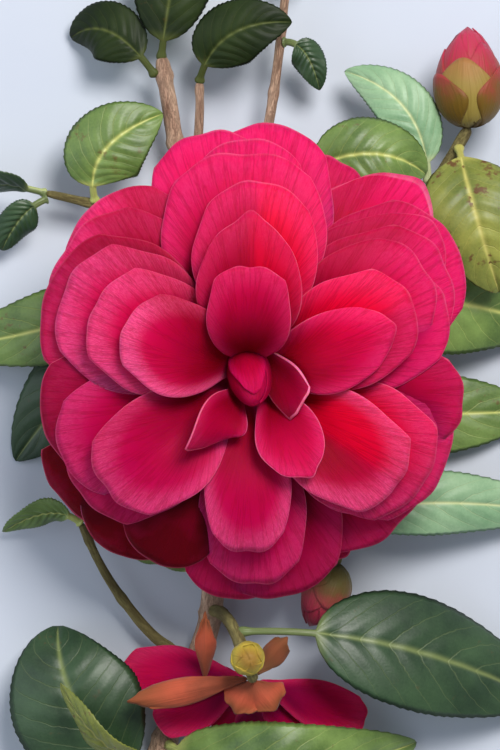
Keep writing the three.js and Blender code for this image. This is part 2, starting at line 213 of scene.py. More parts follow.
def split(tree, vector):
    node = add(tree, "ShaderNodeSeparateXYZ", {0: vector})
    return tuple(Field(tree, socket) for socket in node.outputs)


def joined_vector(tree, x, y, z):
    return add(tree, "ShaderNodeCombineXYZ", {0: x, 1: y, 2: z}).outputs[0]


def keep(tree, geometry, **values):
    """Stores each value on the mesh under its own name."""
    for name, value in values.items():
        node = add(
            tree,
            "GeometryNodeStoreNamedAttribute",
            {"Geometry": geometry, "Name": name, "Value": value},
            data_type="FLOAT",
            domain="POINT",
        )
        geometry = node.outputs["Geometry"]
    return geometry


def recall(tree, name):
    node = add(tree, "GeometryNodeInputNamedAttribute", {"Name": name}, data_type="FLOAT")
    return Field(tree, node.outputs["Attribute"])


def unit_grid(tree, cells_across, cells_along):
    """A flat grid from -1 to 1 that remembers where across and along each point is."""
    sides = {"Size X": 2.0, "Size Y": 2.0}
    counts = {"Vertices X": cells_across + 1, "Vertices Y": cells_along + 1}
    grid = add(tree, "GeometryNodeMeshGrid", {**sides, **counts})
    here = split(tree, add(tree, "GeometryNodeInputPosition").outputs[0])
    return keep(tree, grid.outputs["Mesh"], across=here[0], along=here[1])


def grid_on_points(tree, source):
    """A grid for each point that comes in. It carries the point's values and knows its own rim."""
    cells = given(source, "Cells")
    on_points = {"Points": source.outputs["Geometry"], "Instance": unit_grid(tree, cells, cells)}
    copies = add(tree, "GeometryNodeInstanceOnPoints", on_points)
    real = add(tree, "GeometryNodeRealizeInstances", {"Geometry": copies.outputs[0]})
    across, along = recall(tree, "across"), recall(tree, "along")
    rim = size_of(across).math("MAXIMUM", size_of(along))
    return keep(tree, real.outputs[0], edge=rim), across, along


def give_material(tree, geometry, material, selection=True):
    settings = {"Geometry": geometry, "Selection": selection, "Material": material}
    return add(tree, "GeometryNodeSetMaterial", settings).outputs[0]


def put_points(tree, geometry, source, xyz):
    """Moves every point to a layout place in mm, shades it smooth and gives it its material."""
    moved = [(value + move) * MM for value, move in zip(xyz, SHIFT)]
    places = {"Geometry": geometry, "Position": joined_vector(tree, *moved)}
    shaped = add(tree, "GeometryNodeSetPosition", places)
    soft = add(tree, "GeometryNodeSetShadeSmooth", {"Geometry": shaped.outputs[0]})
    real = add(tree, "GeometryNodeRealizeInstances", {"Geometry": soft.outputs[0]})
    return give_material(tree, real.outputs[0], source.outputs["Material"])


# %% Turn a tree into a plain mesh object
def points_mesh(name, rows):
    """A mesh of loose points, one for each row, that carries the row's values."""
    mesh = bpy.data.meshes.new(name)
    mesh.from_pydata([(0.0, 0.0, 0.0)] * len(rows), [], [])
    for key in rows[0]:
        attribute = mesh.attributes.new(key, "FLOAT", "POINT")
        attribute.data.foreach_set("value", [float(row[key]) for row in rows])
    return mesh


def grow(name, mesh, tree, values):
    """Runs a tree on a mesh with these named inputs and keeps only the mesh that comes out."""
    piece = bpy.data.objects.new(name, mesh)
    bpy.context.scene.collection.objects.link(piece)
    modifier = piece.modifiers.new("rule", "NODES")
    modifier.node_group = tree
    sockets = {item.name: item.identifier for item in tree.interface.items_tree}
    for label, value in values.items():
        modifier[sockets[label]] = value
    graph = bpy.context.evaluated_depsgraph_get()
    grown = bpy.data.meshes.new_from_object(piece.evaluated_get(graph))
    piece.modifiers.remove(modifier)
    piece.data = grown
    grown.name = name
    return piece


def settle(piece, node, slot):
    """Ties a finished piece to the model: it rides on the root and stands for its node."""
    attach(piece, "root")
    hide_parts(node)
    print(piece.name, "has", len(piece.data.polygons), "faces")


def grow_thin(name, rows, tree, values, node, slot, thick_mm):
    """Grows a piece of thin petals or scales, one for each row, and gives them their wall."""
    piece = grow(name, points_mesh(name + "_points", rows), tree, values)
    wall = piece.modifiers.new("wall", "SOLIDIFY")
    wall.thickness = thick_mm * MM
    wall.offset = 0.0
    settle(piece, node, slot)


print("piece helpers are ready")

# %% [markdown]
# ## Finishes
# Petals, leaves and bark all get a Principled shader. What varies over the surface, colour,
# roughness and relief, comes from nodes. What is the same all over is set on the shader itself.


# %% Material helpers
def srgb(red, green, blue):
    """A colour read off a screen, 0 to 255, as the linear colour that shaders want."""
    def linear(value):
        share = value / 255.0
        return share / 12.92 if share <= 0.04045 else ((share + 0.055) / 1.055) ** 2.4

    return (linear(red), linear(green), linear(blue), 1.0)


def new_material(name, **constants):
    material = bpy.data.materials.new(name)
    material.use_nodes = True
    tree = material.node_tree
    shader = tree.nodes["Principled BSDF"]
    for label, value in constants.items():
        shader.inputs[label.replace("_", " ")].default_value = value
    return material, tree, shader


def surface(tree, name):
    """An attribute that the piece carries, as a field of its material."""
    return Field(tree, add(tree, "ShaderNodeAttribute", attribute_name=name).outputs["Fac"])


def colour_mix(tree, share, start, end):
    node = add(tree, "ShaderNodeMix", data_type="RGBA")
    plug(tree, node.inputs["Factor"], share)
    plug(tree, node.inputs[6], start)
    plug(tree, node.inputs[7], end)
    return node.outputs[2]


def object_place(tree, stretch=(1.0, 1.0, 1.0)):
    """Object coordinates in millimetres, stretched where a grain needs it."""
    coordinates = add(tree, "ShaderNodeTexCoord").outputs["Object"]
    scale = tuple(share / MM for share in stretch)
    return add(tree, "ShaderNodeMapping", {"Vector": coordinates, "Scale": scale}).outputs[0]


def noise(tree, vector, scale, detail=2.0, roughness=0.5):
    settings = {"Vector": vector, "Scale": scale, "Detail": detail, "Roughness": roughness}
    return Field(tree, add(tree, "ShaderNodeTexNoise", settings).outputs["Fac"])


def relief(tree, shader, height, distance_mm, strength=1.0):
    settings = {"Strength": strength, "Distance": distance_mm * MM, "Height": height}
    bump = add(tree, "ShaderNodeBump", settings)
    plug(tree, shader.inputs["Normal"], bump.outputs[0])


print("finish helpers are ready")

# %% [markdown]
# ### Petals
# A camellia petal is a thin, satin sheet. It is darkest and reddest at its foot, where little light
# gets in, and this dark foot is partly painted shade; it turns to rose and magenta towards the rim.
# Fine veins fan out from the foot, the skin glitters with tiny cells, and the very edge is pale,
# with a painted highlight along it. The grid's own coordinates already fan out with the petal, so
# stretched noise on them gives veins that follow every petal.
#
# The colours go on in layers, and each petal's own values say how strong a layer is: glow is
# painted light that shines through one half, dusk a painted shaded half, frost the pale skin near
# the rim with a painted sheen over it, lip a thin pale rim with a painted highlight along it, and
# age the dark red of an old petal, also used as painted shade on petals that lie in shadow.

# %% Petal finish
FAN_START = 1.25
FAN_SPREAD = 1.7
# A cool red, painted as shade on the side of the bloom that turns away from the sun.
PAINTED_SHADE_RED = (150, 0, 74)
# A pale pink for the thin rim and its painted highlight.
PALE_LIP_HIGHLIGHT = (252, 118, 156)


def petal_material(name, foot, middle, outer, edge, aged, glowing, vein_share=0.5):
    material, tree, shader = new_material(
        name,
        Specular_IOR_Level=0.05,
        Sheen_Weight=0.04,
        Sheen_Roughness=0.5,
        Sheen_Tint=srgb(255, 60, 130),
        Subsurface_Weight=0.4,
        Subsurface_Radius=(1.0, 0.01, 0.07),
        Subsurface_Scale=0.003,
    )
    across, along, seed = (surface(tree, key) for key in ("disc_across", "disc_along", "seed"))
    level, rim = surface(tree, "level"), surface(tree, "edge")
    # Veins and hairs that fan out from the foot, skin cells, and soft patches.
    fan = across / (along + FAN_START) ** FAN_SPREAD
    broad_fan = joined_vector(tree, fan * 24.0, along * 0.9, seed * 40.0)
    fine_fan = joined_vector(tree, fan * 240.0, along * 20.0, seed * 40.0)
    vein = 1.0 - clamp(size_of(noise(tree, broad_fan, 1.0, 3.0, 0.6) - 0.5) * 18.0)
    hair = noise(tree, fine_fan, 1.0, 3.0, 0.6)
    cells = noise(tree, object_place(tree), 3.2, 3.0, 0.7)
    patches = noise(tree, object_place(tree), 0.12, 2.0)
    # The main colour from foot to rim, where the dark foot is partly painted shade. A cool red is
    # painted as shade where the bloom turns away from the sun.
    radius = root(across * across + along * along)
    near_rim = smooth(radius * 1.9 - 0.92)
    outward = smooth((along + 1.0) * 0.5 * 1.5 - 0.3 + (patches - 0.5) * 0.3)
    body = colour_mix(tree, outward, foot, middle)
    body = colour_mix(tree, near_rim * (level * 0.35 + 0.65), body, outer)
    east, north = split(tree, object_place(tree))[:2]
    shade_away_from_sun = smooth((east * 0.5 + north) * -0.02 + 0.1)
    body = colour_mix(tree, shade_away_from_sun * 0.3, body, srgb(*PAINTED_SHADE_RED))
    # Painted light that shines through one half, and painted shade on the other half.
    glow = surface(tree, "glow")
    lit = smooth(across * glow * 3.5 + 0.5 + (patches - 0.5) * 0.6)
    sided = clamp(size_of(glow)) * smooth(along * 1.4 + 1.1) * (1.0 - near_rim * 0.55)
    body = colour_mix(tree, lit * sided * 0.9, body, glowing)
    body = colour_mix(tree, (1.0 - lit) * sided * 0.55, body, foot)
    # Painted shade over one side of the petal.
    dusk = smooth(across * surface(tree, "dusk") * 1.6 - 0.2) * (0.75 - level * 0.2)
    body = colour_mix(tree, dusk, body, foot)
    # The pale skin near the rim with a painted sheen over it, and dark hairs and veins in it.
    frosted = smooth(radius * 3.0 - 2.0) * surface(tree, "frost") + near_rim * 0.12
    frosted = frosted * (1.0 - dusk)
    body = colour_mix(tree, clamp(frosted * 0.17), body, edge)
    streaks = clamp((hair - 0.42) * 2.6 + (cells - 0.5) * 1.2) * frosted
    body = colour_mix(tree, clamp(streaks * 0.36), body, edge)
    dark = clamp((0.47 - hair) * 4.0) * near_rim * 0.34 + vein * smooth(radius * 1.6) * 0.6
    body = colour_mix(tree, clamp(dark * vein_share), body, foot)
    # Age, which also paints shade on petals that lie in shadow, and last the thin pale lip.
    body = colour_mix(tree, clamp(surface(tree, "age") * (0.6 + patches * 0.8)), body, aged)
    # The lip is a thin pale rim with a painted highlight along it, kept off the painted shaded
    # side.
    lip_strength = surface(tree, "lip")
    lip = smooth((rim - 0.98 + lip_strength * 0.035) * 60.0) * clamp(0.34 + lip_strength * 0.4)
    lip = lip * clamp(patches * 3.0 - 0.7) * (1.0 - dusk)
    body = colour_mix(tree, clamp(lip), body, srgb(*PALE_LIP_HIGHLIGHT))
    plug(tree, shader.inputs["Base Color"], body)
    plug(tree, shader.inputs["Roughness"], 0.46 + cells * 0.14)
    relief(tree, shader, cells * 0.3 - vein * 0.35 + hair * near_rim * 0.7, 0.14, 0.7)
    return material


# The foot colour also serves as painted shade, the glowing colour as painted light through the
# petal, the edge colour as pale skin under a painted sheen, and the aged colour also as painted
# shade.
petal_red = petal_material(
    "petal_red",
    foot=srgb(124, 0, 10),
    middle=srgb(192, 0, 60),
    outer=srgb(216, 0, 86),
    edge=srgb(253, 98, 152),
    aged=srgb(88, 0, 12),
    glowing=srgb(238, 0, 44),
)
petal_magenta = petal_material(
    "petal_magenta",
    foot=srgb(90, 0, 36),
    middle=srgb(178, 0, 54),
    outer=srgb(198, 8, 72),
    edge=srgb(226, 100, 140),
    aged=srgb(110, 20, 40),
    glowing=srgb(220, 0, 50),
    vein_share=0.35,
)
print("petal finishes:", petal_red.name, petal_magenta.name)

# %% [markdown]
# ### Leaves
# A camellia leaf is leathery and glossy above, matte and paler below. A pale midrib runs up the
# middle, and side veins leave it at a slant and bend towards the tip. The veins are drawn from the
# leaf's own coordinates, so they bend with the blade. Brown spots mark the older leaves.

# %% Vein pattern of a leaf
VEIN_PAIRS = 8.0
VEIN_SLANT = 0.26


def leaf_veins(across, blade):
    """How near a place on the blade is to a side vein, from 0 between two veins to 1 on one."""
    phase = (blade - size_of(across) ** 1.25 * VEIN_SLANT) * VEIN_PAIRS
    return 1.0 - size_of(phase.math("FRACT") - 0.5) * 2.0


# %% Leaf finishes
SPOT_BROWN = (96, 62, 30)


def leaf_material(name, deep, light, veins, spots, roughness, shine=0.4):
    material, tree, shader = new_material(
        name, Specular_IOR_Level=shine, Coat_Weight=shine * 0.3, Coat_Roughness=0.3
    )
    across, blade = surface(tree, "leaf_across"), surface(tree, "blade")
    wobble = noise(tree, object_place(tree), 0.35, 2.0) - 0.5
    near = leaf_veins(across, blade + wobble * 0.03)
    side_vein = smooth((near - 0.9) * 10.0) * (1.0 - size_of(across) ** 3.0 * 0.8)
    midrib = bell(across, 0.05)
    net = noise(tree, object_place(tree), 1.6, 3.0, 0.65)
    clouds = noise(tree, object_place(tree), 0.09, 3.0)
    lightness = clamp(clouds * 1.7 - 0.35 + (net - 0.5) * 0.5)
    body = colour_mix(tree, lightness, srgb(*deep), srgb(*light))
    petiole = 1.0 - smooth(blade * 14.0)
    veined = clamp(side_vein * 0.22 + midrib * 0.8 + petiole * 0.7)
    body = colour_mix(tree, veined, body, srgb(*veins))
    if spots:
        blotch = noise(tree, object_place(tree), 0.16, 4.0, 0.6)
        speck = noise(tree, object_place(tree), 0.7, 2.0)
        brown = clamp((blotch - 0.62 + spots * 0.1) * 9.0 + (speck - 0.66) * 6.0) * spots
        body = colour_mix(tree, clamp(brown), body, srgb(*SPOT_BROWN))
    plug(tree, shader.inputs["Base Color"], body)
    plug(tree, shader.inputs["Roughness"], roughness + net * 0.16 + side_vein * 0.1)
    height = net * 0.35 - side_vein * 0.5 - midrib * 0.8 + wobble * 0.4
    relief(tree, shader, height, 0.2, 0.75)
    return material


# Each look is its deep, light and vein colours, its share of spots, its roughness and its shine.
LEAF_LOOKS = {
    "leaf_green": ((58, 84, 34), (124, 150, 76), (196, 200, 112), 0.6, 0.36),
    "leaf_dark": ((20, 42, 24), (58, 84, 52), (118, 130, 76), 0.25, 0.36),
    "leaf_crown": ((14, 26, 8), (40, 54, 20), (84, 92, 46), 0.2, 0.5, 0.15),
    "leaf_pale": ((98, 140, 100), (158, 188, 148), (200, 206, 150), 0.0, 0.4),
    "leaf_yellow": ((66, 86, 34), (150, 152, 66), (190, 182, 98), 0.95, 0.45),
    "leaf_under": ((110, 134, 84), (142, 160, 106), (176, 184, 120), 0.0, 0.62),
}
LEAF_FINISHES = {name: leaf_material(name, *look) for name, look in LEAF_LOOKS.items()}
print("leaf finishes:", ", ".join(LEAF_FINISHES))

# %% [markdown]
# ### Bark, scales and cut wood
# The main stem has thin pinkish-brown bark with fine cracks along it and pale pores across it. The
# young twigs are still olive. Each stem carries a straightened coordinate of its own, so the cracks
# run along it however it bends.


# %% Bark finish
def bark_material(name, deep, light, crack):
    material, tree, shader = new_material(name, Specular_IOR_Level=0.3)
    section_x, section_y = surface(tree, "section_x"), surface(tree, "section_y")
    run = surface(tree, "run")
    grain = joined_vector(tree, section_x * 3.0, section_y * 3.0, run * 0.28)
    pores = joined_vector(tree, section_x * 1.6, section_y * 1.6, run * 1.9)
    streaks = noise(tree, grain, 1.6, 4.0, 0.65)
    cracks = 1.0 - clamp(size_of(streaks - 0.52) * 16.0)
    pore = clamp((noise(tree, pores, 1.3, 1.0) - 0.66) * 12.0)
    patches = noise(tree, joined_vector(tree, section_x, section_y, run * 0.1), 0.9, 2.0)
    body = colour_mix(tree, clamp(patches * 2.2 - 0.6), srgb(*deep), srgb(*light))
    body = colour_mix(tree, cracks * 0.35, body, srgb(*crack))
    body = colour_mix(tree, pore * 0.6, body, srgb(*light))
    plug(tree, shader.inputs["Base Color"], body)
    plug(tree, shader.inputs["Roughness"], 0.62 + streaks * 0.25)
    relief(tree, shader, streaks * 0.7 - cracks * 0.6 + pore * 0.5, 0.3, 0.9)
    return material


# Each look is its deep colour, its light colour and the colour of its cracks.
BARK_LOOKS = {
    "bark": ((140, 104, 84), (206, 172, 146), (88, 62, 48)),
    "green_twig": ((96, 84, 48), (146, 136, 84), (84, 62, 40)),
}
BARK_FINISHES = {name: bark_material(name, *look) for name, look in BARK_LOOKS.items()}


# %% Finish of bud scales and of cut wood
def scale_material(name, low, high, tip, roughness, worn=(146, 128, 58)):
    """Bud and calyx scales: one colour at the foot, another at the tip, with fine ribs and down."""
    material, tree, shader = new_material(
        name, Sheen_Weight=0.1, Sheen_Roughness=0.4, Specular_IOR_Level=0.3
    )
    low, high, tip, worn = (srgb(*colour) for colour in (low, high, tip, worn))
    across, height, seed = (surface(tree, key) for key in ("disc_across", "height", "seed"))
    ribs = noise(tree, joined_vector(tree, across * 16.0, height * 2.0, seed * 30.0), 1.0, 3.0)
    patches = noise(tree, object_place(tree), 0.22, 3.0)
    body = colour_mix(tree, smooth(height * 1.6 - 0.3 + (patches - 0.5) * 0.9), low, high)
    body = colour_mix(tree, smooth(height * 2.6 - 1.5), body, tip)
    body = colour_mix(tree, clamp(surface(tree, "age") * (1.5 - height * 0.9)), body, worn)
    body = colour_mix(tree, clamp((ribs - 0.5) * 1.4), body, low)
    plug(tree, shader.inputs["Base Color"], body)
    plug(tree, shader.inputs["Roughness"], roughness + patches * 0.2)
    relief(tree, shader, ribs, 0.25, 0.8)
    return material


# Each look is its colours at the foot, higher up and at the tip, its roughness, and its worn
# colour where that isn't the usual one.
SCALE_LOOKS = {
    "bud_rose": ((92, 82, 34), (182, 46, 76), (128, 12, 48), 0.45),
    "bud_olive": ((104, 78, 14), (170, 28, 60), (178, 44, 78), 0.45),
    "bud_green": ((136, 120, 34), (190, 168, 62), (150, 112, 44), 0.5),
    "dry_brown": ((134, 64, 40), (194, 86, 58), (136, 72, 40), 0.7, (110, 70, 40)),
}
SCALE_FINISHES = {name: scale_material(name, *look) for name, look in SCALE_LOOKS.items()}


def cut_wood_material():
    material, tree, shader = new_material("cut_wood", Specular_IOR_Level=0.3)
    section_x, section_y = surface(tree, "section_x"), surface(tree, "section_y")
    rings = sine(root(section_x * section_x + section_y * section_y) * 26.0)
    fibres = noise(tree, object_place(tree), 4.0, 2.0)
    share = clamp(rings * 0.25 + fibres * 0.8)
    body = colour_mix(tree, share, srgb(150, 150, 96), srgb(214, 206, 160))
    plug(tree, shader.inputs["Base Color"], body)
    plug(tree, shader.inputs["Roughness"], 0.7 + fibres * 0.2)
    relief(tree, shader, fibres, 0.1)
    return material


cut_wood = cut_wood_material()
print("bark and scale finishes are ready")

# %% [markdown]
# ## The bloom
# The petals sit in six columns that spiral out from a closed heart. One rule makes them all. A
# petal's midrib is an arc from its foot, past a knee, to its tip. It is cupped at its foot and
# turns back at its edges. The further it reaches, the lower it sits, and the tips make a dome.
# Petals could be modelled one by one, but a rule keeps them alike and still lets each differ a
# little.

# %% The values of one petal
REACH_INNER, REACH_OUTER = 28.0, 60.0
DOME_HEIGHT, DOME_FLAT = 30.0, 20.0
BLOOM_CENTRE = (-1.0, -1.0, 32.0)
BLOOM_LEAN = math.radians(9.0)


def petal(direction, reach, width, **changes):
    """A petal's named values. What isn't given is the usual value or follows from its reach."""
    level = (reach - REACH_INNER) / (REACH_OUTER - REACH_INNER)
    row = {
        "direction": math.radians(direction),
        "foot_radius": blend(2.0, 6.0, level),
        "foot_height": blend(7.0, 0.0, level),
        "knee_radius": reach * blend(0.36, 0.5, level),
        "knee_height": DOME_HEIGHT + 3.0 - 11.0 * level * level,
        "reach": reach,
        "tip_height": DOME_HEIGHT * (1.0 - ((reach - DOME_FLAT) / (REACH_OUTER - DOME_FLAT)) ** 2),
        "half_width": width / 2.0,
        "cup_foot": blend(0.45, 0.15, level),
        "cup_tip": blend(-0.1, -0.2, level),
        "crease": 0.08,
        "twist": 0.0,
        "notch": 0.008,
        "broad": 0.12,
        "point": 0.0,
        "bend": 0.0,
        "slip": 0.0,
        "ripple": 0.6,
        "age": 0.0,
        "lip": 0.0,
        "glow": 0.0,
        "dusk": 0.0,
        "frost": 0.3,
        "seed": (direction * 0.37 + reach * 0.61) % 1.0,
        "level": min(1.0, max(0.0, level)),
    }
    row.update(changes)
    return row


PETAL_KEYS = tuple(petal(0.0, REACH_INNER, 20.0))
print("values of each petal:", len(PETAL_KEYS))


# %% The rule of a petal
def disc(across, along, broad=0.0):
    """Rounds the square grid to a disc, or to a broader, squarer shape at the tip."""
    pinch = 0.5 - smooth(along) * broad
    x = across * root(1.0 - along * along * pinch)
    y = along * root(1.0 - across * across * pinch)
    return x, y


def petal_rule(tree, p, ripple_height):
    """The place of each point in the bloom's own frame, in mm. p holds the petal's values."""
    across, along = recall(tree, "across"), recall(tree, "along")
    x, y = disc(across, along, p["broad"])
    rim = (x * x + y * y) ** 3.0
    worn = sine(x * 8.0 + p["seed"] * 40.0) * sine(y * 7.0 + p["seed"] * 23.0) * rim
    x, y = (value * (worn * 0.012 + 1.0) for value in (x, y))
    t = (y + 1.0) * 0.5
    wide = x * (0.38 + 0.62 * smooth(t * 1.45)) * (1.0 - p["point"] * smooth((t - 0.35) / 0.65))
    tip_zone = smooth((t - 0.55) / 0.45)
    t = t - p["notch"] * tip_zone * bell(x, 0.2)
    s = 1.0 - t
    out = s * s * p["foot_radius"] + 2.0 * s * t * p["knee_radius"] + t * t * p["reach"]
    up = s * s * p["foot_height"] + 2.0 * s * t * p["knee_height"] + t * t * p["tip_height"]
    run = s * (p["knee_radius"] - p["foot_radius"]) + t * (p["reach"] - p["knee_radius"])
    rise = s * (p["knee_height"] - p["foot_height"]) + t * (p["tip_height"] - p["knee_height"])
    steepness = root(run * run + rise * rise)
    side = wide * p["half_width"]
    turn = across * 2.2 + along * 1.3
    wave = sine(turn * 1.6 + p["seed"] * 6.28) + 0.25 * sine(turn * 5.3 + p["seed"] * 19.0)
    swell = sine(x * 3.0 + p["seed"] * 9.0) * sine(y * 2.6 + p["seed"] * 5.0) * 1.6
    cup = mix(p["cup_foot"], p["cup_tip"], smooth(t * 1.25 - 0.1))
    fold = p["crease"] * (root(wide * wide + 0.004) - 0.063) * smooth(t * 2.0)
    lift = (cup * wide * wide + fold) * p["half_width"] + side * p["twist"]
    lift = lift + (rim * wave * p["ripple"] + swell) * ripple_height
    out = out - rise / steepness * lift
    up = up + run / steepness * lift
    side = side + p["bend"] * t * t + p["slip"]
    east, north = cosine(p["direction"]), sine(p["direction"])
    return (out * east + side * north, out * north - side * east, up), x, y


def petal_tree():
    inputs = {
        "Cells": ("Int", 26),
        "Ripple height": ("Float", 0.25),
        "Centre": ("Vector", (0.0, 0.0, 0.0)),
        "Lean": ("Float", 0.0),
        "Material": ("Material", None),
    }
    tree, source, result = new_tree("petals_by_rule", inputs)
    kept, _, _ = grid_on_points(tree, source)
    values = {key: recall(tree, key) for key in PETAL_KEYS}
    (x, y, z), across, along = petal_rule(tree, values, given(source, "Ripple height"))
    height = (along + 1.0) * 0.5
    kept = keep(tree, kept, disc_across=across, disc_along=along, height=height)
    lean = given(source, "Lean")
    leaned = (x, y * cosine(lean) - z * sine(lean), y * sine(lean) + z * cosine(lean))
    centre = split(tree, source.outputs["Centre"])
    placed = [value + middle for value, middle in zip(leaned, centre)]
    plug(tree, result.inputs[0], put_points(tree, kept, source, placed))
    return tree


PETALS_BY_RULE = petal_tree()
print("petal tree has", len(PETALS_BY_RULE.nodes), "nodes")

# %% [markdown]
# The petals are listed column by column. Each one's direction seen from above, how far its tip
# reaches and how wide it is were measured off the picture. The petals of the heart stand steeply.

# %% The petals of the bloom
# Here age darkens old petals and also paints shade on petals that lie in shadow. Glow paints light
# through one half, dusk paints shade on one side, and frost and lip add a painted sheen and a
# painted highlight to the pale rim.
BLOOM_PETALS = [
    petal(89, 28.4, 20.6, crease=0.2, notch=0.02, age=0.2),
    petal(89, 38.2, 26.0, notch=-0.05, broad=0.02, crease=0.25, glow=0.8, age=0.3),
    petal(86.5, 46.8, 31.0, broad=0.08, glow=0.95),
    petal(91.5, 53.0, 41.0, glow=0.35),
    petal(90, 55.9, 32.0),
    petal(100.5, 58.2, 33.0),
    petal(84.5, 59.3, 35.0, knee_height=23.5),
    petal(66, 55.0, 26.0, knee_height=19.0, tip_height=2.0, age=0.3),
    petal(19, 36.0, 20.0, broad=0.04, notch=-0.03, bend=-1.5, glow=-0.3),
    petal(26, 43.0, 28.0, glow=-0.9),
    petal(31, 49.4, 32.0, glow=0.3, dusk=-0.8),
    petal(20, 50.4, 30.0, dusk=-0.6),
    petal(30, 54.2, 38.0, point=0.1, dusk=-1.0),
    petal(37, 57.0, 36.0, point=0.15, broad=0.0, dusk=-1.2),
    petal(33, 58.4, 40.0, dusk=-0.8),
    petal(47, 60.4, 40.0, knee_height=24.0, point=0.15, broad=0.0, notch=-0.02, dusk=-1.0, lip=1.0),
    petal(-35, 43.8, 27.0, crease=0.3, glow=-1.0, frost=1.5),
    petal(-32, 50.0, 34.0, glow=-0.7, frost=0.6),
    petal(-29, 53.2, 38.0, frost=0.5),
    petal(-9, 52.5, 28.0, age=0.35),
    petal(-47, 53.6, 38.0, knee_height=19.0, tip_height=4.0, age=0.3),
    petal(-90, 41.8, 21.6, frost=1.3),
    petal(-88, 51.7, 27.0, frost=0.5),
    petal(-94, 57.2, 30.0, age=0.3),
    petal(-81, 57.0, 36.0, age=0.3),
    petal(-65, 53.0, 16.0, knee_height=18.0, tip_height=3.0, age=0.5),
    petal(-142, 42.8, 28.0, crease=0.2, dusk=0.5, frost=1.1),
    petal(-156, 48.6, 32.0, frost=0.6),
    petal(-145, 49.7, 32.0, age=0.3),
    petal(-166, 50.6, 36.0, age=0.6),
    petal(-117, 51.5, 28.0, age=1.0),
    petal(-147, 55.4, 25.0, age=1.0, broad=0.3),
    petal(-129, 56.0, 30.0, age=1.0),
    petal(152.5, 32.0, 24.0, dusk=0.9, frost=2.4),
    petal(153, 40.4, 30.0, dusk=0.6, frost=1.5),
    petal(153.5, 48.4, 36.0, dusk=0.7, frost=1.4),
    petal(156, 52.0, 42.0, dusk=1.2, frost=0.5, age=0.35),
    petal(144, 53.0, 40.0, knee_height=23.5, dusk=1.4, frost=0.7),
    petal(134, 54.5, 38.0, knee_height=21.5, dusk=1.4, frost=0.8),
]


def heart_petal(direction, reach, width, foot_radius, **changes):
    values = {"foot_radius": foot_radius, "foot_height": 9.0, "level": 0.0, **changes}
    return petal(direction, reach, width, **values)


HEART_PETALS = [
    heart_petal(
        -48, 12.6, 10.5, -6.0, knee_radius=7.5, knee_height=19, tip_height=26, cup_foot=0.3,
        cup_tip=0.1, crease=0.0, notch=0.0, broad=0.24, twist=-0.4, bend=-0.3, slip=-5.6, age=0.5,
        lip=1.6, dusk=0.9,
    ),
    heart_petal(
        -97, 16.3, 11.4, 4.0, knee_radius=7.5, knee_height=31, tip_height=26.5, cup_foot=0.3,
        cup_tip=0.1, notch=0.0, broad=0.2, twist=0.8, bend=6.6, slip=2.2, age=0.25, lip=0.7,
    ),
    heart_petal(
        -57, 25.4, 16.8, 4.0, knee_radius=13, knee_height=28, tip_height=28.5, cup_foot=0.4,
        cup_tip=0.0, notch=-0.05, broad=0.04, bend=0.4, slip=-1.4, lip=0.4,
    ),
]
print(len(BLOOM_PETALS), "petals round", len(HEART_PETALS), "heart petals")

# %% Grow the bloom
IN_BLOOM = {"Centre": BLOOM_CENTRE, "Lean": BLOOM_LEAN}
all_petals = BLOOM_PETALS + HEART_PETALS
petal_values = {**IN_BLOOM, "Material": petal_red}
grow_thin(
    "bloom_petals", all_petals, PETALS_BY_RULE, petal_values, "bloom", "petals", thick_mm=0.35
)

# %% [markdown]
# ## The heart and the buds
# A bud is an egg wrapped in scales that follow its surface, each overlapping the next. The closed
# heart of the bloom is such a bud too, of petals. One tree makes them all: an egg between a foot
# and a tip, and scales at given turns round it.

# %% The rule of a bud
def egg_radius(height, radius, shoulder):
    return radius * sine(clamp(height) ** shoulder * math.pi) ** 0.62 + 0.02


def bud_frame(tree, source):
    """The bud's foot, its axis and the two directions across it."""
    foot = split(tree, source.outputs["Foot"])
    tip = split(tree, source.outputs["Tip"])
    axis = tuple(end - start for start, end in zip(foot, tip))
    along = unit(axis)
    level = unit((along[1], along[0] * -1.0, along[2] * 0.0))
    return foot, axis, level, cross(level, along)


def on_bud(frame_of_bud, turn, height, radius):
    foot, axis, level, upward = frame_of_bud
    east, north = cosine(turn) * radius, sine(turn) * radius
    return [
        start + way * height + a * east + b * north
        for start, way, a, b in zip(foot, axis, level, upward)
    ]


def bud_tree():
    inputs = {
        "Cells": ("Int", 12),
        "Foot": ("Vector", (0.0, 0.0, 0.0)),
        "Tip": ("Vector", (0.0, 0.0, 1.0)),
        "Radius": ("Float", 5.0),
        "Shoulder": ("Float", 0.8),
        "Material": ("Material", None),
    }
    tree, source, result = new_tree("bud_by_rule", inputs)
    kept, across, along = grid_on_points(tree, source)
    wrap = recall(tree, "wrap")
    x, y = (mix(a, b, wrap) for a, b in zip(disc(across, along), (across, along)))
    share = (y + 1.0) * 0.5
    height = share * recall(tree, "cover")
    pointed = 1.0 - 0.35 * smooth(share * 2.0 - 1.0) * (1.0 - wrap)
    turn = recall(tree, "turn") - x * pointed * recall(tree, "spread")
    turn = turn + recall(tree, "lean") * share * share
    ridge = (bell(x, 0.18) * 0.18 + x * x * 0.12) * (1.0 - wrap)
    bare = egg_radius(height, given(source, "Radius"), given(source, "Shoulder"))
    lifted = bare + recall(tree, "raise") * (0.3 + share) + ridge
    kept = keep(tree, kept, disc_across=x, disc_along=y, height=height)
    points = on_bud(bud_frame(tree, source), turn, height, lifted)
    plug(tree, result.inputs[0], put_points(tree, kept, source, points))
    return tree


BUD_BY_RULE = bud_tree()
print("bud tree has", len(BUD_BY_RULE.nodes), "nodes")

# %% [markdown]
# Many plants set each new scale a golden angle round from the last one, which keeps scales from
# lying straight above each other. So do these buds.

# %% The scales of a bud
GOLDEN_ANGLE = 137.5
FIRST_STAND = 0.15
WORN_AGE = 0.7


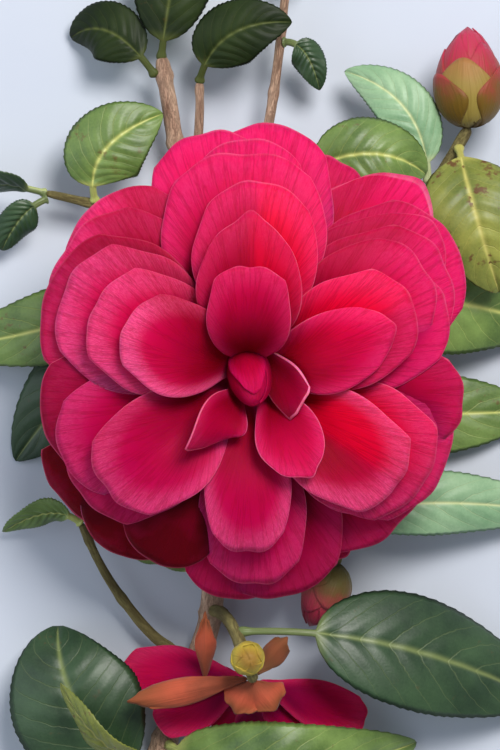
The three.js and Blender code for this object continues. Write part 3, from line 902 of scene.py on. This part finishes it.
def bud_scale(turn, spread, cover, stand_off, **changes):
    """One scale: where round the bud it sits, how far it wraps and how much it covers."""
    row = {
        "turn": math.radians(turn),
        "spread": math.radians(spread),
        "cover": cover,
        "raise": stand_off,
        "wrap": 0.0,
        "lean": 0.0,
        "age": 0.0,
        "lip": -0.8,
        "frost": 0.0,
        "seed": (turn * 0.017) % 1.0,
        "level": 0.3,
    }
    row.update(changes)
    return row


def bud_rows(count, first_cover, last_cover, spread, stand_off, worn=()):
    """A closed core, then scales in a spiral. Outer ones cover less and stand further out."""
    rows = [bud_scale(0.0, 180.0, 1.0, 0.0, wrap=1.0)]
    for number in range(count):
        share = number / max(1, count - 1)
        cover = blend(first_cover, last_cover, share)
        age = WORN_AGE if number in worn else 0.0
        stand = blend(FIRST_STAND, stand_off, share)
        rows.append(bud_scale(number * GOLDEN_ANGLE, spread, cover, stand, age=age))
    return rows


# %% Grow the heart of the bloom
def in_bloom(x, y, z):
    """A place in the bloom's own frame as a layout place."""
    lean_sin, lean_cos = math.sin(BLOOM_LEAN), math.cos(BLOOM_LEAN)
    cx, cy, cz = BLOOM_CENTRE
    return (cx + x, cy + y * lean_cos - z * lean_sin, cz + y * lean_sin + z * lean_cos)


heart_values = {
    "Cells": 24,
    "Foot": in_bloom(-0.6, 5.0, 8.0),
    "Tip": in_bloom(1.4, -5.0, 25.0),
    "Radius": 5.0,
    "Shoulder": 0.85,
    "Material": petal_red,
}
# The age value on the heart is painted shade from the petals above it.
heart_rows = [
    bud_scale(0, 180, 1.0, 0.0, wrap=1.0, age=0.5),
    bud_scale(200, 60, 0.97, 0.2, age=0.5),
    bud_scale(84, 52, 0.95, 0.5, lean=0.3, wrap=0.45, age=0.2, level=0.6),
]
grow_thin("bloom_heart", heart_rows, BUD_BY_RULE, heart_values, "bloom", "petals", thick_mm=0.4)

# %% [markdown]
# Each bud is its foot, its tip, its radius, how high its shoulder is, how many scales it has, which
# of them have lost their red, its finish and its slot in the record.

# %% Grow the three buds
BUDS = {
    "bud_large": (
        (54.2, 58.4, 15.2), (53.4, 83.0, 17.5), 8.0, 0.72, 11, (6,), "bud_olive", "bud_petal"
    ),
    "bud_red": (
        (21.8, -50.5, 10.3), (14.5, -66.0, 8.5), 5.4, 0.8, 9, (), "bud_rose", "bud_petal"
    ),
    "bud_green": (
        (-1.4, -71.8, 32.3), (-0.6, -71.4, 39.6), 3.6, 0.8, 8, (), "bud_green", "bud_scale"
    ),
}
for name, (foot, tip, radius, shoulder, count, worn, look, slot) in BUDS.items():
    rows = bud_rows(
        count, first_cover=0.99, last_cover=0.5, spread=62, stand_off=radius * 0.1, worn=worn
    )
    values = {"Foot": foot, "Tip": tip, "Radius": radius, "Shoulder": shoulder}
    values["Material"] = SCALE_FINISHES[look]
    grow_thin(name + "_scales", rows, BUD_BY_RULE, values, name, slot, thick_mm=0.35)

# %% [markdown]
# ## The calyx and the spent bloom
# Under the bloom sits a cup of rounded scales. The second bloom on the branch is past its best: a
# few magenta petals hang from it, face down, and its scales have dried to orange-brown. Both are
# the petal rule again with other values.


# %% Grow the calyx
def sepal(direction, reach, width, tip_height):
    return petal(
        direction, reach, width, foot_radius=1.2, foot_height=-10.0, knee_radius=reach * 0.95,
        knee_height=-9.5, tip_height=tip_height, cup_foot=0.6, cup_tip=0.45, notch=-0.02,
        ripple=0.4,
    )


SEPALS = [sepal(number * 72.0, 9.6, 11.0, -1.2) for number in range(5)]
SEPALS += [sepal(36.0 + number * 72.0, 7.4, 9.0, -4.6) for number in range(5)]
sepal_values = {**IN_BLOOM, "Cells": 12, "Material": SCALE_FINISHES["bud_green"]}
grow_thin(
    "calyx_scales", SEPALS, PETALS_BY_RULE, sepal_values, "calyx", "bud_scale", thick_mm=0.7
)


# %% Grow the spent bloom
IN_SPENT = {"Centre": (0.0, -78.0, 22.5), "Lean": math.radians(168.0)}


def spent_petal(direction, reach, width, knee_height, tip_height):
    return petal(
        direction, reach, width, foot_radius=2.0, foot_height=0.0, knee_radius=reach * 0.5,
        knee_height=knee_height, tip_height=tip_height, cup_foot=0.3, cup_tip=0.0, level=0.8,
    )


SPENT_PETALS = [
    spent_petal(186, 33, 16, 13, 14),
    spent_petal(160, 26, 14, 13, 14),
    spent_petal(108, 16, 15, 12, 15),
    spent_petal(73, 16, 15, 12, 15),
    spent_petal(40, 20, 13, 13, 14),
    spent_petal(17, 30, 13, 13, 14),
]
spent_values = {**IN_SPENT, "Material": petal_magenta}
dry_values = {**IN_SPENT, "Material": SCALE_FINISHES["dry_brown"]}
spent_ties = ("bloom_spent", "petals_spent")


def dry_scale(direction, reach, width, tip_height, **changes):
    drying = {
        "foot_radius": 1.0,
        "foot_height": -3.4,
        "knee_radius": reach * 0.5,
        "knee_height": -4.6,
        "cup_foot": 0.5,
        "cup_tip": 0.5,
        "crease": 0.3,
        "notch": -0.08,
        "ripple": 2.4,
    }
    drying.update(changes)
    return petal(direction, reach, width, tip_height=tip_height, **drying)


DRY_SCALES = [
    dry_scale(170, 29, 7.0, 0.0),
    dry_scale(270, 15, 6.5, -4.0, slip=11.5, point=0.6, foot_height=8.0, knee_height=-2.0),
    dry_scale(115, 9, 12, -2.0, point=0.2),
    dry_scale(60, 9, 12, -2.0, bend=1.0),
    dry_scale(312, 12, 6, -6.0, age=0.8),
]
grow_thin(
    "spent_petals", SPENT_PETALS, PETALS_BY_RULE, spent_values, *spent_ties, thick_mm=0.45
)
grow_thin("dry_scales", DRY_SCALES, PETALS_BY_RULE, dry_values, *spent_ties, thick_mm=0.4)

# %% [markdown]
# ## Stems
# Each stem is a smooth curve through a few points, thinner towards its tip. The curve has to be the
# one that the model was made with, so the same centripetal spline is worked out here. A twig
# starts on its bearer's middle line, so that bark meets bark.

# %% Smooth curve through points
SAMPLES = 200
TIP_SHOULDER = 3.0
TIP_LEFT = 0.4


def spline_point(points, t):
    """A centripetal Catmull-Rom spline, which passes through every point without loops."""
    last = len(points) - 1
    position = t * last
    index = min(int(position), last - 1)
    share = position - index
    p1, p2 = points[index], points[index + 1]
    p0 = points[index - 1] if index > 0 else p1 * 2 - p2
    p3 = points[index + 2] if index + 2 <= last else p2 * 2 - p1
    d0, d1, d2 = (math.sqrt((b - a).length) for a, b in ((p0, p1), (p1, p2), (p2, p3)))
    start = ((p1 - p0) / d0 - (p2 - p0) / (d0 + d1) + (p2 - p1) / d1) * d1
    end = ((p2 - p1) / d1 - (p3 - p1) / (d1 + d2) + (p3 - p2) / d2) * d1
    square, cube = share ** 2, share ** 3
    return (
        p1
        + start * share
        + (p2 * 3 - p1 * 3 - start * 2 - end) * square
        + (p1 * 2 - p2 * 2 + start + end) * cube
    )


class Limb:
    def __init__(self, points, foot_radius, tip_radius):
        knots = [Vector(point) for point in points]
        self.places = [spline_point(knots, i / SAMPLES) for i in range(SAMPLES + 1)]
        self.foot_radius, self.tip_radius = foot_radius, tip_radius
        self.runs = [0.0]
        for a, b in zip(self.places, self.places[1:]):
            self.runs.append(self.runs[-1] + (b - a).length)

    def radius(self, index):
        return blend(self.foot_radius, self.tip_radius, self.runs[index] / self.runs[-1])

    def drawn_radius(self, index):
        """The radius with a rounded shoulder over the last millimetres."""
        left = min(1.0, (self.runs[-1] - self.runs[index]) / TIP_SHOULDER)
        return self.radius(index) * blend(TIP_LEFT, 1.0, math.sqrt(left * (2.0 - left)))

    def tangent(self, index):
        low, high = max(0, index - 1), min(SAMPLES, index + 1)
        return (self.places[high] - self.places[low]).normalized()

    def nearest(self, point):
        return min(range(SAMPLES + 1), key=lambda i: (self.places[i] - Vector(point)).length)

    def middle(self, point):
        return self.places[self.nearest(point)]

    def seat(self, from_point, towards, foot_radius):
        """Where a piece that grows towards a place leaves the bark."""
        index = self.nearest(from_point)
        heading = (Vector(towards) - self.places[index]).normalized()
        lean = abs(heading.dot(self.tangent(index)))
        reach = (self.radius(index) + foot_radius * lean) / math.sqrt(1.0 - lean * lean)
        return self.places[index] + heading * reach


print("steps along each stem:", SAMPLES)

# %% [markdown]
# The points of each stem were read off the picture, and their heights make it a branch that lies
# flat. Each twig has a bearer, a place on it, its further points, and its radius at foot and tip.

# %% The stems and twigs
LIMBS = {
    "main": Limb(
        [
            CUT_END, (-24, -100, 3.6), (-17, -83, 4), (-10.5, -64, 4.6), (-10, -48, 5),
            (-12.5, -30, 5.5), (-14, -10, 6), (-15, 12, 6.5), (-16.5, 34, 7.5), (-19, 54, 9),
            (-22.6, 76.5, 11.8),
        ],
        3.3,
        1.9,
    )
}
TWIGS = {
    "flower_shoot": (
        "main",
        (-10.2, -50, 5),
        [
            (-8, -41, 10), (-5, -22, 12.5), (-2.2, -5.5, 14), in_bloom(0, 0, -14.3),
            in_bloom(0, 0, -9.4),
        ],
        2.1,
        1.9,
    ),
    "bud_twig": (
        "main",
        (-12.6, -29, 5.5),
        [(-3, -20, 6), (12, -1, 6.8), (28, 20, 8.5), (44, 42, 12), (54.0, 58.4, 15.2)],
        1.8,
        1.5,
    ),
    "top_right_twig": (
        "main",
        (-14.2, -6, 6),
        [(-7, 8, 6.8), (0, 38, 8.5), (5.8, 70, 11), (8.5, 93, 12.3)],
        1.6,
        1.1,
    ),
    "right_twig": (
        "flower_shoot",
        (-6, -27, 12.8),
        [(4, -30.5, 13), (15, -36, 12.5), (20.5, -43.5, 11.5), (21.7, -50.6, 10.4)],
        1.4,
        1.1,
    ),
    "left_twig": (
        "main", (-16.5, 34, 7.5), [(-28, 37, 8.5), (-41, 40, 10), (-52, 42.5, 10.6)], 1.4, 1.0
    ),
    "side_shoot": (
        "main", (-14.2, -76, 4.2), [(-25, -68.5, 6), (-35.5, -55, 8), (-43, -40, 10)], 1.5, 1.0
    ),
    "top_twig": ("main", (-17.6, 44, 8.2), [(-13.8, 54, 10), (-13, 70.5, 12.3)], 1.3, 1.0),
    "spent_stalk": (
        "main",
        (-10.4, -62, 4.7),
        [(-7.5, -62.5, 13), (-4.5, -65.5, 24), (-1.5, -72, 30), (0, -76.2, 31.2), (0, -77, 27.5)],
        1.6,
        1.4,
    ),
}
for name, (bearer, from_point, points, *radii) in TWIGS.items():
    LIMBS[name] = Limb([LIMBS[bearer].middle(from_point), *points], *radii)
print("length of the main stem, mm:", round(LIMBS["main"].runs[-1], 1))

# %% [markdown]
# The tree below sweeps a circle along the curve. The circle's own points are kept as a cross
# section and the length as a run, which straighten the stem out for its bark. Then the surface
# moves in and out: shallow ridges along the stem, and a swollen ring at each joint where a leaf
# stood.


# %% The rule of a stem
WALL_CORNERS = 4


def bark_height(tree, source):
    """How far the bark stands out, in metres: ridges and lumps, and a ring at each joint."""
    run, share = recall(tree, "run"), recall(tree, "share")
    section_x, section_y = recall(tree, "section_x"), recall(tree, "section_y")
    grain = joined_vector(tree, section_x * 2.2, section_y * 2.2, run * 0.09)
    ridges = noise(tree, grain, 1.0, 3.0, 0.6) - 0.5
    swell = joined_vector(tree, section_x * 0.7, section_y * 0.7, run * 0.12)
    lumps = noise(tree, swell, 1.0, 1.0) - 0.5
    spacing = given(source, "Joint spacing")
    joint_phase = (run / spacing + lumps * 0.2).math("FRACT") - 0.5
    joint = bell(joint_phase * spacing, 1.3) * given(source, "Joint height")
    ends = smooth(share * 60.0) * smooth((1.0 - share) * 40.0)
    height_mm = ridges * given(source, "Ridge height") * 2.0 + joint + lumps * 0.5
    return height_mm * ends * MM


def stem_tree():
    inputs = {
        "Sides": ("Int", 20),
        "Step": ("Float", 0.0009),
        "Joint spacing": ("Float", 17.0),
        "Joint height": ("Float", 0.45),
        "Ridge height": ("Float", 0.11),
        "Material": ("Material", None),
        "Cut material": ("Material", None),
    }
    tree, source, result = new_tree("stem_by_rule", inputs)
    curve = add(tree, "GeometryNodeMeshToCurve", {"Mesh": source.outputs["Geometry"]})
    steps = {"Curve": curve.outputs[0], "Length": given(source, "Step")}
    even = add(tree, "GeometryNodeResampleCurve", steps, mode="LENGTH")
    parameter = add(tree, "GeometryNodeSplineParameter")
    run = Field(tree, parameter.outputs["Length"]) / MM
    share = Field(tree, parameter.outputs["Factor"])
    path = keep(tree, even.outputs[0], run=run, share=share)
    circle = {"Resolution": given(source, "Sides"), "Radius": 1.0}
    ring = add(tree, "GeometryNodeCurvePrimitiveCircle", circle)
    here = split(tree, add(tree, "GeometryNodeInputPosition").outputs[0])
    profile = keep(tree, ring.outputs[0], section_x=here[0], section_y=here[1])
    sweep = {"Curve": path, "Profile Curve": profile, "Scale": recall(tree, "thick")}
    tube = add(tree, "GeometryNodeCurveToMesh", {**sweep, "Fill Caps": True})
    normal = add(tree, "GeometryNodeInputNormal").outputs[0]
    offset = add(tree, "ShaderNodeVectorMath", {0: normal}, operation="SCALE")
    plug(tree, offset.inputs["Scale"], bark_height(tree, source))
    moves = {"Geometry": tube.outputs[0], "Offset": offset.outputs[0]}
    shaped = add(tree, "GeometryNodeSetPosition", moves)
    sides = add(tree, "GeometryNodeInputMeshFaceNeighbors").outputs["Vertex Count"]
    is_cut = Field(tree, sides).math("GREATER_THAN", WALL_CORNERS + 0.5)
    shading = {"Geometry": shaped.outputs[0], "Shade Smooth": 1.0 - is_cut}
    rounded = add(tree, "GeometryNodeSetShadeSmooth", shading)
    real = add(tree, "GeometryNodeRealizeInstances", {"Geometry": rounded.outputs[0]})
    barked = give_material(tree, real.outputs[0], source.outputs["Material"])
    done = give_material(tree, barked, source.outputs["Cut material"], is_cut)
    plug(tree, result.inputs[0], done)
    return tree


STEM_BY_RULE = stem_tree()
print("stem tree has", len(STEM_BY_RULE.nodes), "nodes")


# %% Grow the stems
def path_mesh(name, limb):
    """The limb's middle line as a chain of edges that carries its thickness."""
    mesh = bpy.data.meshes.new(name)
    count = len(limb.places)
    edges = [(i, i + 1) for i in range(count - 1)]
    mesh.from_pydata([place(point) for point in limb.places], edges, [])
    thick = mesh.attributes.new("thick", "FLOAT", "POINT")
    thick.data.foreach_set("value", [limb.drawn_radius(i) * MM for i in range(count)])
    return mesh


BARKED = ("main", "top_right_twig", "top_twig")
JOINT_SHARE = 0.14
for name, limb in LIMBS.items():
    slot = "bark" if name in BARKED else "green_twig"
    values = {"Material": BARK_FINISHES[slot], "Cut material": cut_wood}
    values["Joint height"] = JOINT_SHARE * limb.foot_radius
    stem = grow("stem_" + name + "_bark", path_mesh(name, limb), STEM_BY_RULE, values)
    settle(stem, "stem_" + name, slot)

# %% [markdown]
# ## Leaves
# A leaf's midrib is an arc from its stalk, past a high point, to its tip. The blade widens quickly
# and draws out to a point, its edge is cut into small forward teeth, and it puffs up between the
# side veins. The grid is fine along the leaf, because the teeth are real shape and not only paint.

# %% The rule of a leaf
PETIOLE_LENGTH = 6.0
PETIOLE_HALF_WIDTH = 0.9
BLADE_HALF_THICKNESS = 0.2
TEETH = 24.0
# The stalk starts inside its stem by this share of the leaf, so that no gap shows.
BURIED_SHARE = 0.03
# The grid's two sides meet under the leaf, and points this close, in metres, are sewn together.
SEWN_WITHIN = 2e-6


def leaf_rule(tree, source):
    """The place of each point. The grid wraps round the leaf: its middle half is the upper face."""
    wrap, along = recall(tree, "across") * 2.0, recall(tree, "along")
    face = (1.0 - size_of(wrap)).math("SIGN")
    across = wrap.math("SIGN") * (1.0 - size_of(size_of(wrap) - 1.0))
    foot, rise, tip = (split(tree, source.outputs[label]) for label in ("Foot", "Rise", "Tip"))
    width, stalk = given(source, "Width"), given(source, "Stalk share")
    seed = given(source, "Seed")
    t = (along + 1.0) * 0.5 * (1.0 + BURIED_SHARE) - BURIED_SHARE
    s = 1.0 - t
    blade = clamp((t - stalk * 0.7) / (1.0 - stalk * 0.7))
    outline = 2.42 * blade ** 0.55 * (1.0 - blade) ** 0.75
    tooth = (blade * TEETH + size_of(across) * 0.2).math("FRACT") * 0.34
    toothed = smooth(outline * 3.0 - 0.4) * tooth * smooth(size_of(across) * 4.0 - 3.0)
    ends = root(smooth((t + BURIED_SHARE) * 50.0))
    flare = 1.0 + bell(t, 0.02) * 0.5
    stem_width = PETIOLE_HALF_WIDTH * (1.0 - smooth(t * 2.0 - 0.9)) * flare
    half = (outline * width * 0.5).math("MAXIMUM", stem_width)
    side = across * (half + toothed) * ends
    ribs = smooth(leaf_veins(across, blade))
    puff = (1.0 - ribs) * outline * (1.0 - across * across) * 0.4
    wave = sine(blade * 8.5 + seed * 6.0) * across * across * outline * given(source, "Wave")
    groove = bell(side, 0.55) * smooth(blade * 12.0) * 0.35
    lift = given(source, "Fold") * size_of(side) + puff + wave - groove
    lift = lift - given(source, "Curl") * side * side / (width * 0.5)
    round_part = 1.0 - smooth(blade * 9.0)
    wall = mix(BLADE_HALF_THICKNESS, PETIOLE_HALF_WIDTH * 0.9, round_part) * flare
    rib_below = bell(side, 0.7) * (1.0 - face) * 0.5 * (1.0 - blade) * (1.0 - round_part) * 0.6
    lens = root(1.0 - across * across) * smooth((1.0 - blade) * 25.0) * ends
    lift = lift + face * lens * (wall + rib_below)
    way = [s * (b - a) + t * (c - b) for a, b, c in zip(foot, rise, tip)]
    run = unit(way)
    level = unit((run[1], run[0] * -1.0, run[2] * 0.0))
    upward = cross(level, run)
    roll = given(source, "Roll")
    wing = tuple(a * cosine(roll) + b * sine(roll) for a, b in zip(level, upward))
    normal = cross(wing, run)
    points = [
        s * s * a + 2.0 * s * t * b + t * t * c + w * side + n * lift
        for a, b, c, w, n in zip(foot, rise, tip, wing, normal)
    ]
    return points, blade, across, wrap


def leaf_tree():
    inputs = {
        "Cells across": ("Int", 40),
        "Cells along": ("Int", 110),
        "Foot": ("Vector", (0.0, 0.0, 0.0)),
        "Rise": ("Vector", (0.0, 0.0, 0.0)),
        "Tip": ("Vector", (0.0, 0.0, 0.0)),
        "Width": ("Float", 20.0),
        "Stalk share": ("Float", 0.1),
        "Roll": ("Float", 0.0),
        "Fold": ("Float", 0.12),
        "Curl": ("Float", 0.25),
        "Wave": ("Float", 0.8),
        "Seed": ("Float", 0.0),
        "Material": ("Material", None),
        "Under material": ("Material", None),
    }
    tree, source, result = new_tree("leaf_by_rule", inputs)
    grid = unit_grid(tree, given(source, "Cells across"), given(source, "Cells along"))
    points, blade, across, wrap = leaf_rule(tree, source)
    below = size_of(wrap).math("GREATER_THAN", 1.02)
    kept = keep(tree, grid, blade=blade, leaf_across=across, below=below)
    done = put_points(tree, kept, source, points)
    is_below = recall(tree, "below").math("GREATER_THAN", 0.4)
    paler = give_material(tree, done, source.outputs["Under material"], is_below)
    sewn = add(tree, "GeometryNodeMergeByDistance", {"Geometry": paler, "Distance": SEWN_WITHIN})
    plug(tree, result.inputs[0], sewn.outputs[0])
    return tree


LEAF_BY_RULE = leaf_tree()
print("leaf tree has", len(LEAF_BY_RULE.nodes), "nodes")

# %% [markdown]
# Each leaf names the stem that bears it, the place on that stem, the high point of its arc, its
# tip, its width, how far it is rolled about its midrib, and its finish. A leaf with no place grows
# from the end of its stem.

# %% The leaves of the branch
LEAVES = {
    "upper_right": (
        "top_right_twig", (0.3, 40, 8.6), (27, 58, 36), (43.3, 46.4, 18), 19, 8, "green",
        {"Stalk share": 0.4},
    ),
    "crown_left": ("main", (-20.6, 68, 10.5), (-36, 88, 18), (-46, 82, 2), 15, 0, "crown"),
    "upper_left": ("left_twig", (-39, 39.5, 9.7), (-42, 54, 22), (-22, 62, 14), 20, 0, "green"),
    "left_curled": ("left_twig", (-49, 42, 10.5), (-58, 38, 14), (-63, 28, 6), 9, 20, "dark"),
    "left_spotted": ("main", (-16, 22, 7), (-46, 7, 28), (-77, 4, 1), 19, 0, "green"),
    "left_dark": ("main", (-15, 8, 6.4), (-40, 4, 13), (-60, -25, 1), 26, 0, "dark"),
    "right_spotted": ("bud_twig", (24, 15, 8), (48, 18, 26), (74, 9, 1), 26, 0, "green"),
    "right_under": ("bud_twig", (4, -11, 6.4), (40, -14, 13), (73, -12, 1), 22, 0, "green"),
    "under_bud": ("bud_twig", (51.5, 54, 14.5), (52.5, 39, 38), (61, 17, 21), 25, 0, "yellow"),
    "pale": ("bud_twig", (44, 42, 12), (43, 66, 22), (23, 73, 10), 14, 0, "pale"),
    "small_dark": ("top_right_twig", (7, 80, 11.6), (14, 80, 16), (17, 68, 10), 8, 0, "dark"),
    "lower_right": (
        "spent_stalk", (-3, -68, 23), (36, -64, 31), (74, -86, 1), 29, 20, "dark",
        {"Stalk share": 0.33},
    ),
    "bottom": ("main", (-22, -96, 3.7), (4, -102.5, 57), (42, -96, 2), 23, 0, "green"),
    "lower_left": ("main", (-28, -110, 3.4), (-48.5, -83.1, 26), (-48.8, -66, 6), 33, 0, "dark"),
    "folded": ("main", (-24.5, -101, 3.6), (-37, -96, 38), (-47.6, -79, 20), 10, 50, "yellow"),
    "middle": ("main", (-10.2, -56, 4.8), (-22, -46, 17), (-33, -47, 9), 9, 40, "green"),
    "right_low": ("right_twig", (17, -38, 12.2), (45, -32, 22), (77, -38, 1), 16, 0, "pale"),
    "crown_top": ("main", None, (-19.5, 99, 23), (-14, 122, 1.5), 20, 0, "crown"),
    "crown_right": ("top_twig", None, (-9, 84.5, 24), (10, 84, 20), 16, 0, "crown"),
    "left_edge": ("left_twig", None, (-66, 46, 16), (-80, 46, 8), 14, 70, "dark"),
    "left_low": ("side_shoot", None, (-50, -34, 14), (-63, -43, 4), 8, 40, "green"),
    "twig_end": ("top_right_twig", None, (13, 106, 20), (10, 121, 1), 12, 0, "pale"),
}

# The record has one slot for all dark leaves, and the crown's leaves are dark.
RECORD_SLOT = {"crown": "dark"}
GOLDEN_SHARE = 0.618


def midrib_length(foot, rise, tip, steps=40):
    points = []
    for i in range(steps + 1):
        t = i / steps
        points.append(foot * (1 - t) ** 2 + rise * (2 * t * (1 - t)) + tip * t * t)
    return sum((b - a).length for a, b in zip(points, points[1:]))


def grow_leaf(number, name, bearer, from_point, rise, tip, width, roll, look, changes=None):
    limb, rise, tip = LIMBS[bearer], Vector(rise), Vector(tip)
    foot = limb.seat(from_point, rise, PETIOLE_HALF_WIDTH) if from_point else limb.places[-1]
    values = {
        "Foot": foot,
        "Rise": rise,
        "Tip": tip,
        "Width": float(width),
        "Stalk share": PETIOLE_LENGTH / midrib_length(foot, rise, tip),
        "Roll": math.radians(roll),
        "Seed": (number * GOLDEN_SHARE) % 1.0,
        "Material": LEAF_FINISHES["leaf_" + look],
        "Under material": LEAF_FINISHES["leaf_under"],
        **(changes or {}),
    }
    leaf = grow(name + "_blade", bpy.data.meshes.new(name), LEAF_BY_RULE, values)
    settle(leaf, name, "leaf_" + RECORD_SLOT.get(look, look))


for number, (name, row) in enumerate(LEAVES.items()):
    grow_leaf(number, "leaf_" + name, *row)

# %% [markdown]
# ## Floor, light and camera
# The branch lies on a plain pale floor, which is set a fifth of a millimetre down so that the
# leaves that rest on it don't flicker. In the photograph the sun comes softly from the upper right
# and the sky fills in from the left, so a warm key stands at the upper right and a cool fill at the
# left. The camera looks straight down on the bloom, from about as far as a close view is taken.

# %% Floor
FLOOR_HALF = 1.6
FLOOR_HEIGHT = -0.0002


def floor_material():
    material, tree, shader = new_material("floor_pale", Specular_IOR_Level=0.2)
    grain = noise(tree, object_place(tree), 0.02, 3.0)
    body = colour_mix(tree, grain, srgb(188, 195, 209), srgb(200, 205, 215))
    plug(tree, shader.inputs["Base Color"], body)
    plug(tree, shader.inputs["Roughness"], 0.75 + grain * 0.15)
    return material


floor_mesh = bpy.data.meshes.new("floor")
signs = [(-1, -1), (1, -1), (1, 1), (-1, 1)]
corners = [(x * FLOOR_HALF, y * FLOOR_HALF, FLOOR_HEIGHT) for x, y in signs]
floor_mesh.from_pydata(corners, [], [(0, 1, 2, 3)])
floor_mesh.materials.append(floor_material())
floor = bpy.data.objects.new("floor", floor_mesh)
bpy.context.scene.collection.objects.link(floor)
print("width of the floor, m:", FLOOR_HALF * 2)


# %% Lights
BLOOM_MIDDLE = Vector((0.0, 0.0, 0.04))


def area_light(name, spot, size, power, colour):
    lamp = bpy.data.lights.new(name, "AREA")
    lamp.size, lamp.energy, lamp.color = size, power, colour
    holder = bpy.data.objects.new(name, lamp)
    bpy.context.scene.collection.objects.link(holder)
    holder.location = spot
    holder.rotation_mode = "QUATERNION"
    holder.rotation_quaternion = (BLOOM_MIDDLE - Vector(spot)).to_track_quat("-Z", "Y")


area_light("key", spot=(0.22, 0.36, 0.7), size=0.3, power=7.0, colour=(1.0, 0.97, 0.93))
area_light("fill", spot=(-0.65, 0.05, 0.6), size=0.8, power=2.8, colour=(0.82, 0.9, 1.0))
SKY_BLUE = (0.8, 0.88, 1.0, 1.0)
SKY_STRENGTH = 0.35
world = bpy.data.worlds.new("sky")
bpy.context.scene.world = world
world.use_nodes = True
sky = world.node_tree.nodes["Background"]
sky.inputs["Color"].default_value = SKY_BLUE
sky.inputs["Strength"].default_value = SKY_STRENGTH
print("lights: key, fill and sky")

# %% Camera
CAMERA_HEIGHT = 740.0
CAMERA_OVER = (-0.48, -3.12)
BLOOM_PLANE = 40.0
MM_PER_PIXEL = 0.24
PICTURE_HEIGHT = 750
SENSOR = 36.0
camera = bpy.data.cameras.new("camera")
camera_holder = bpy.data.objects.new("camera", camera)
bpy.context.scene.collection.objects.link(camera_holder)
camera_holder.location = place((*CAMERA_OVER, CAMERA_HEIGHT))
camera.sensor_width = SENSOR
camera.lens = (CAMERA_HEIGHT - BLOOM_PLANE) / MM_PER_PIXEL * SENSOR / PICTURE_HEIGHT
camera.clip_end = 20.0
bpy.context.scene.camera = camera_holder
bpy.context.scene.view_settings.view_transform = "Standard"
print("lens, mm:", round(camera.lens, 1))
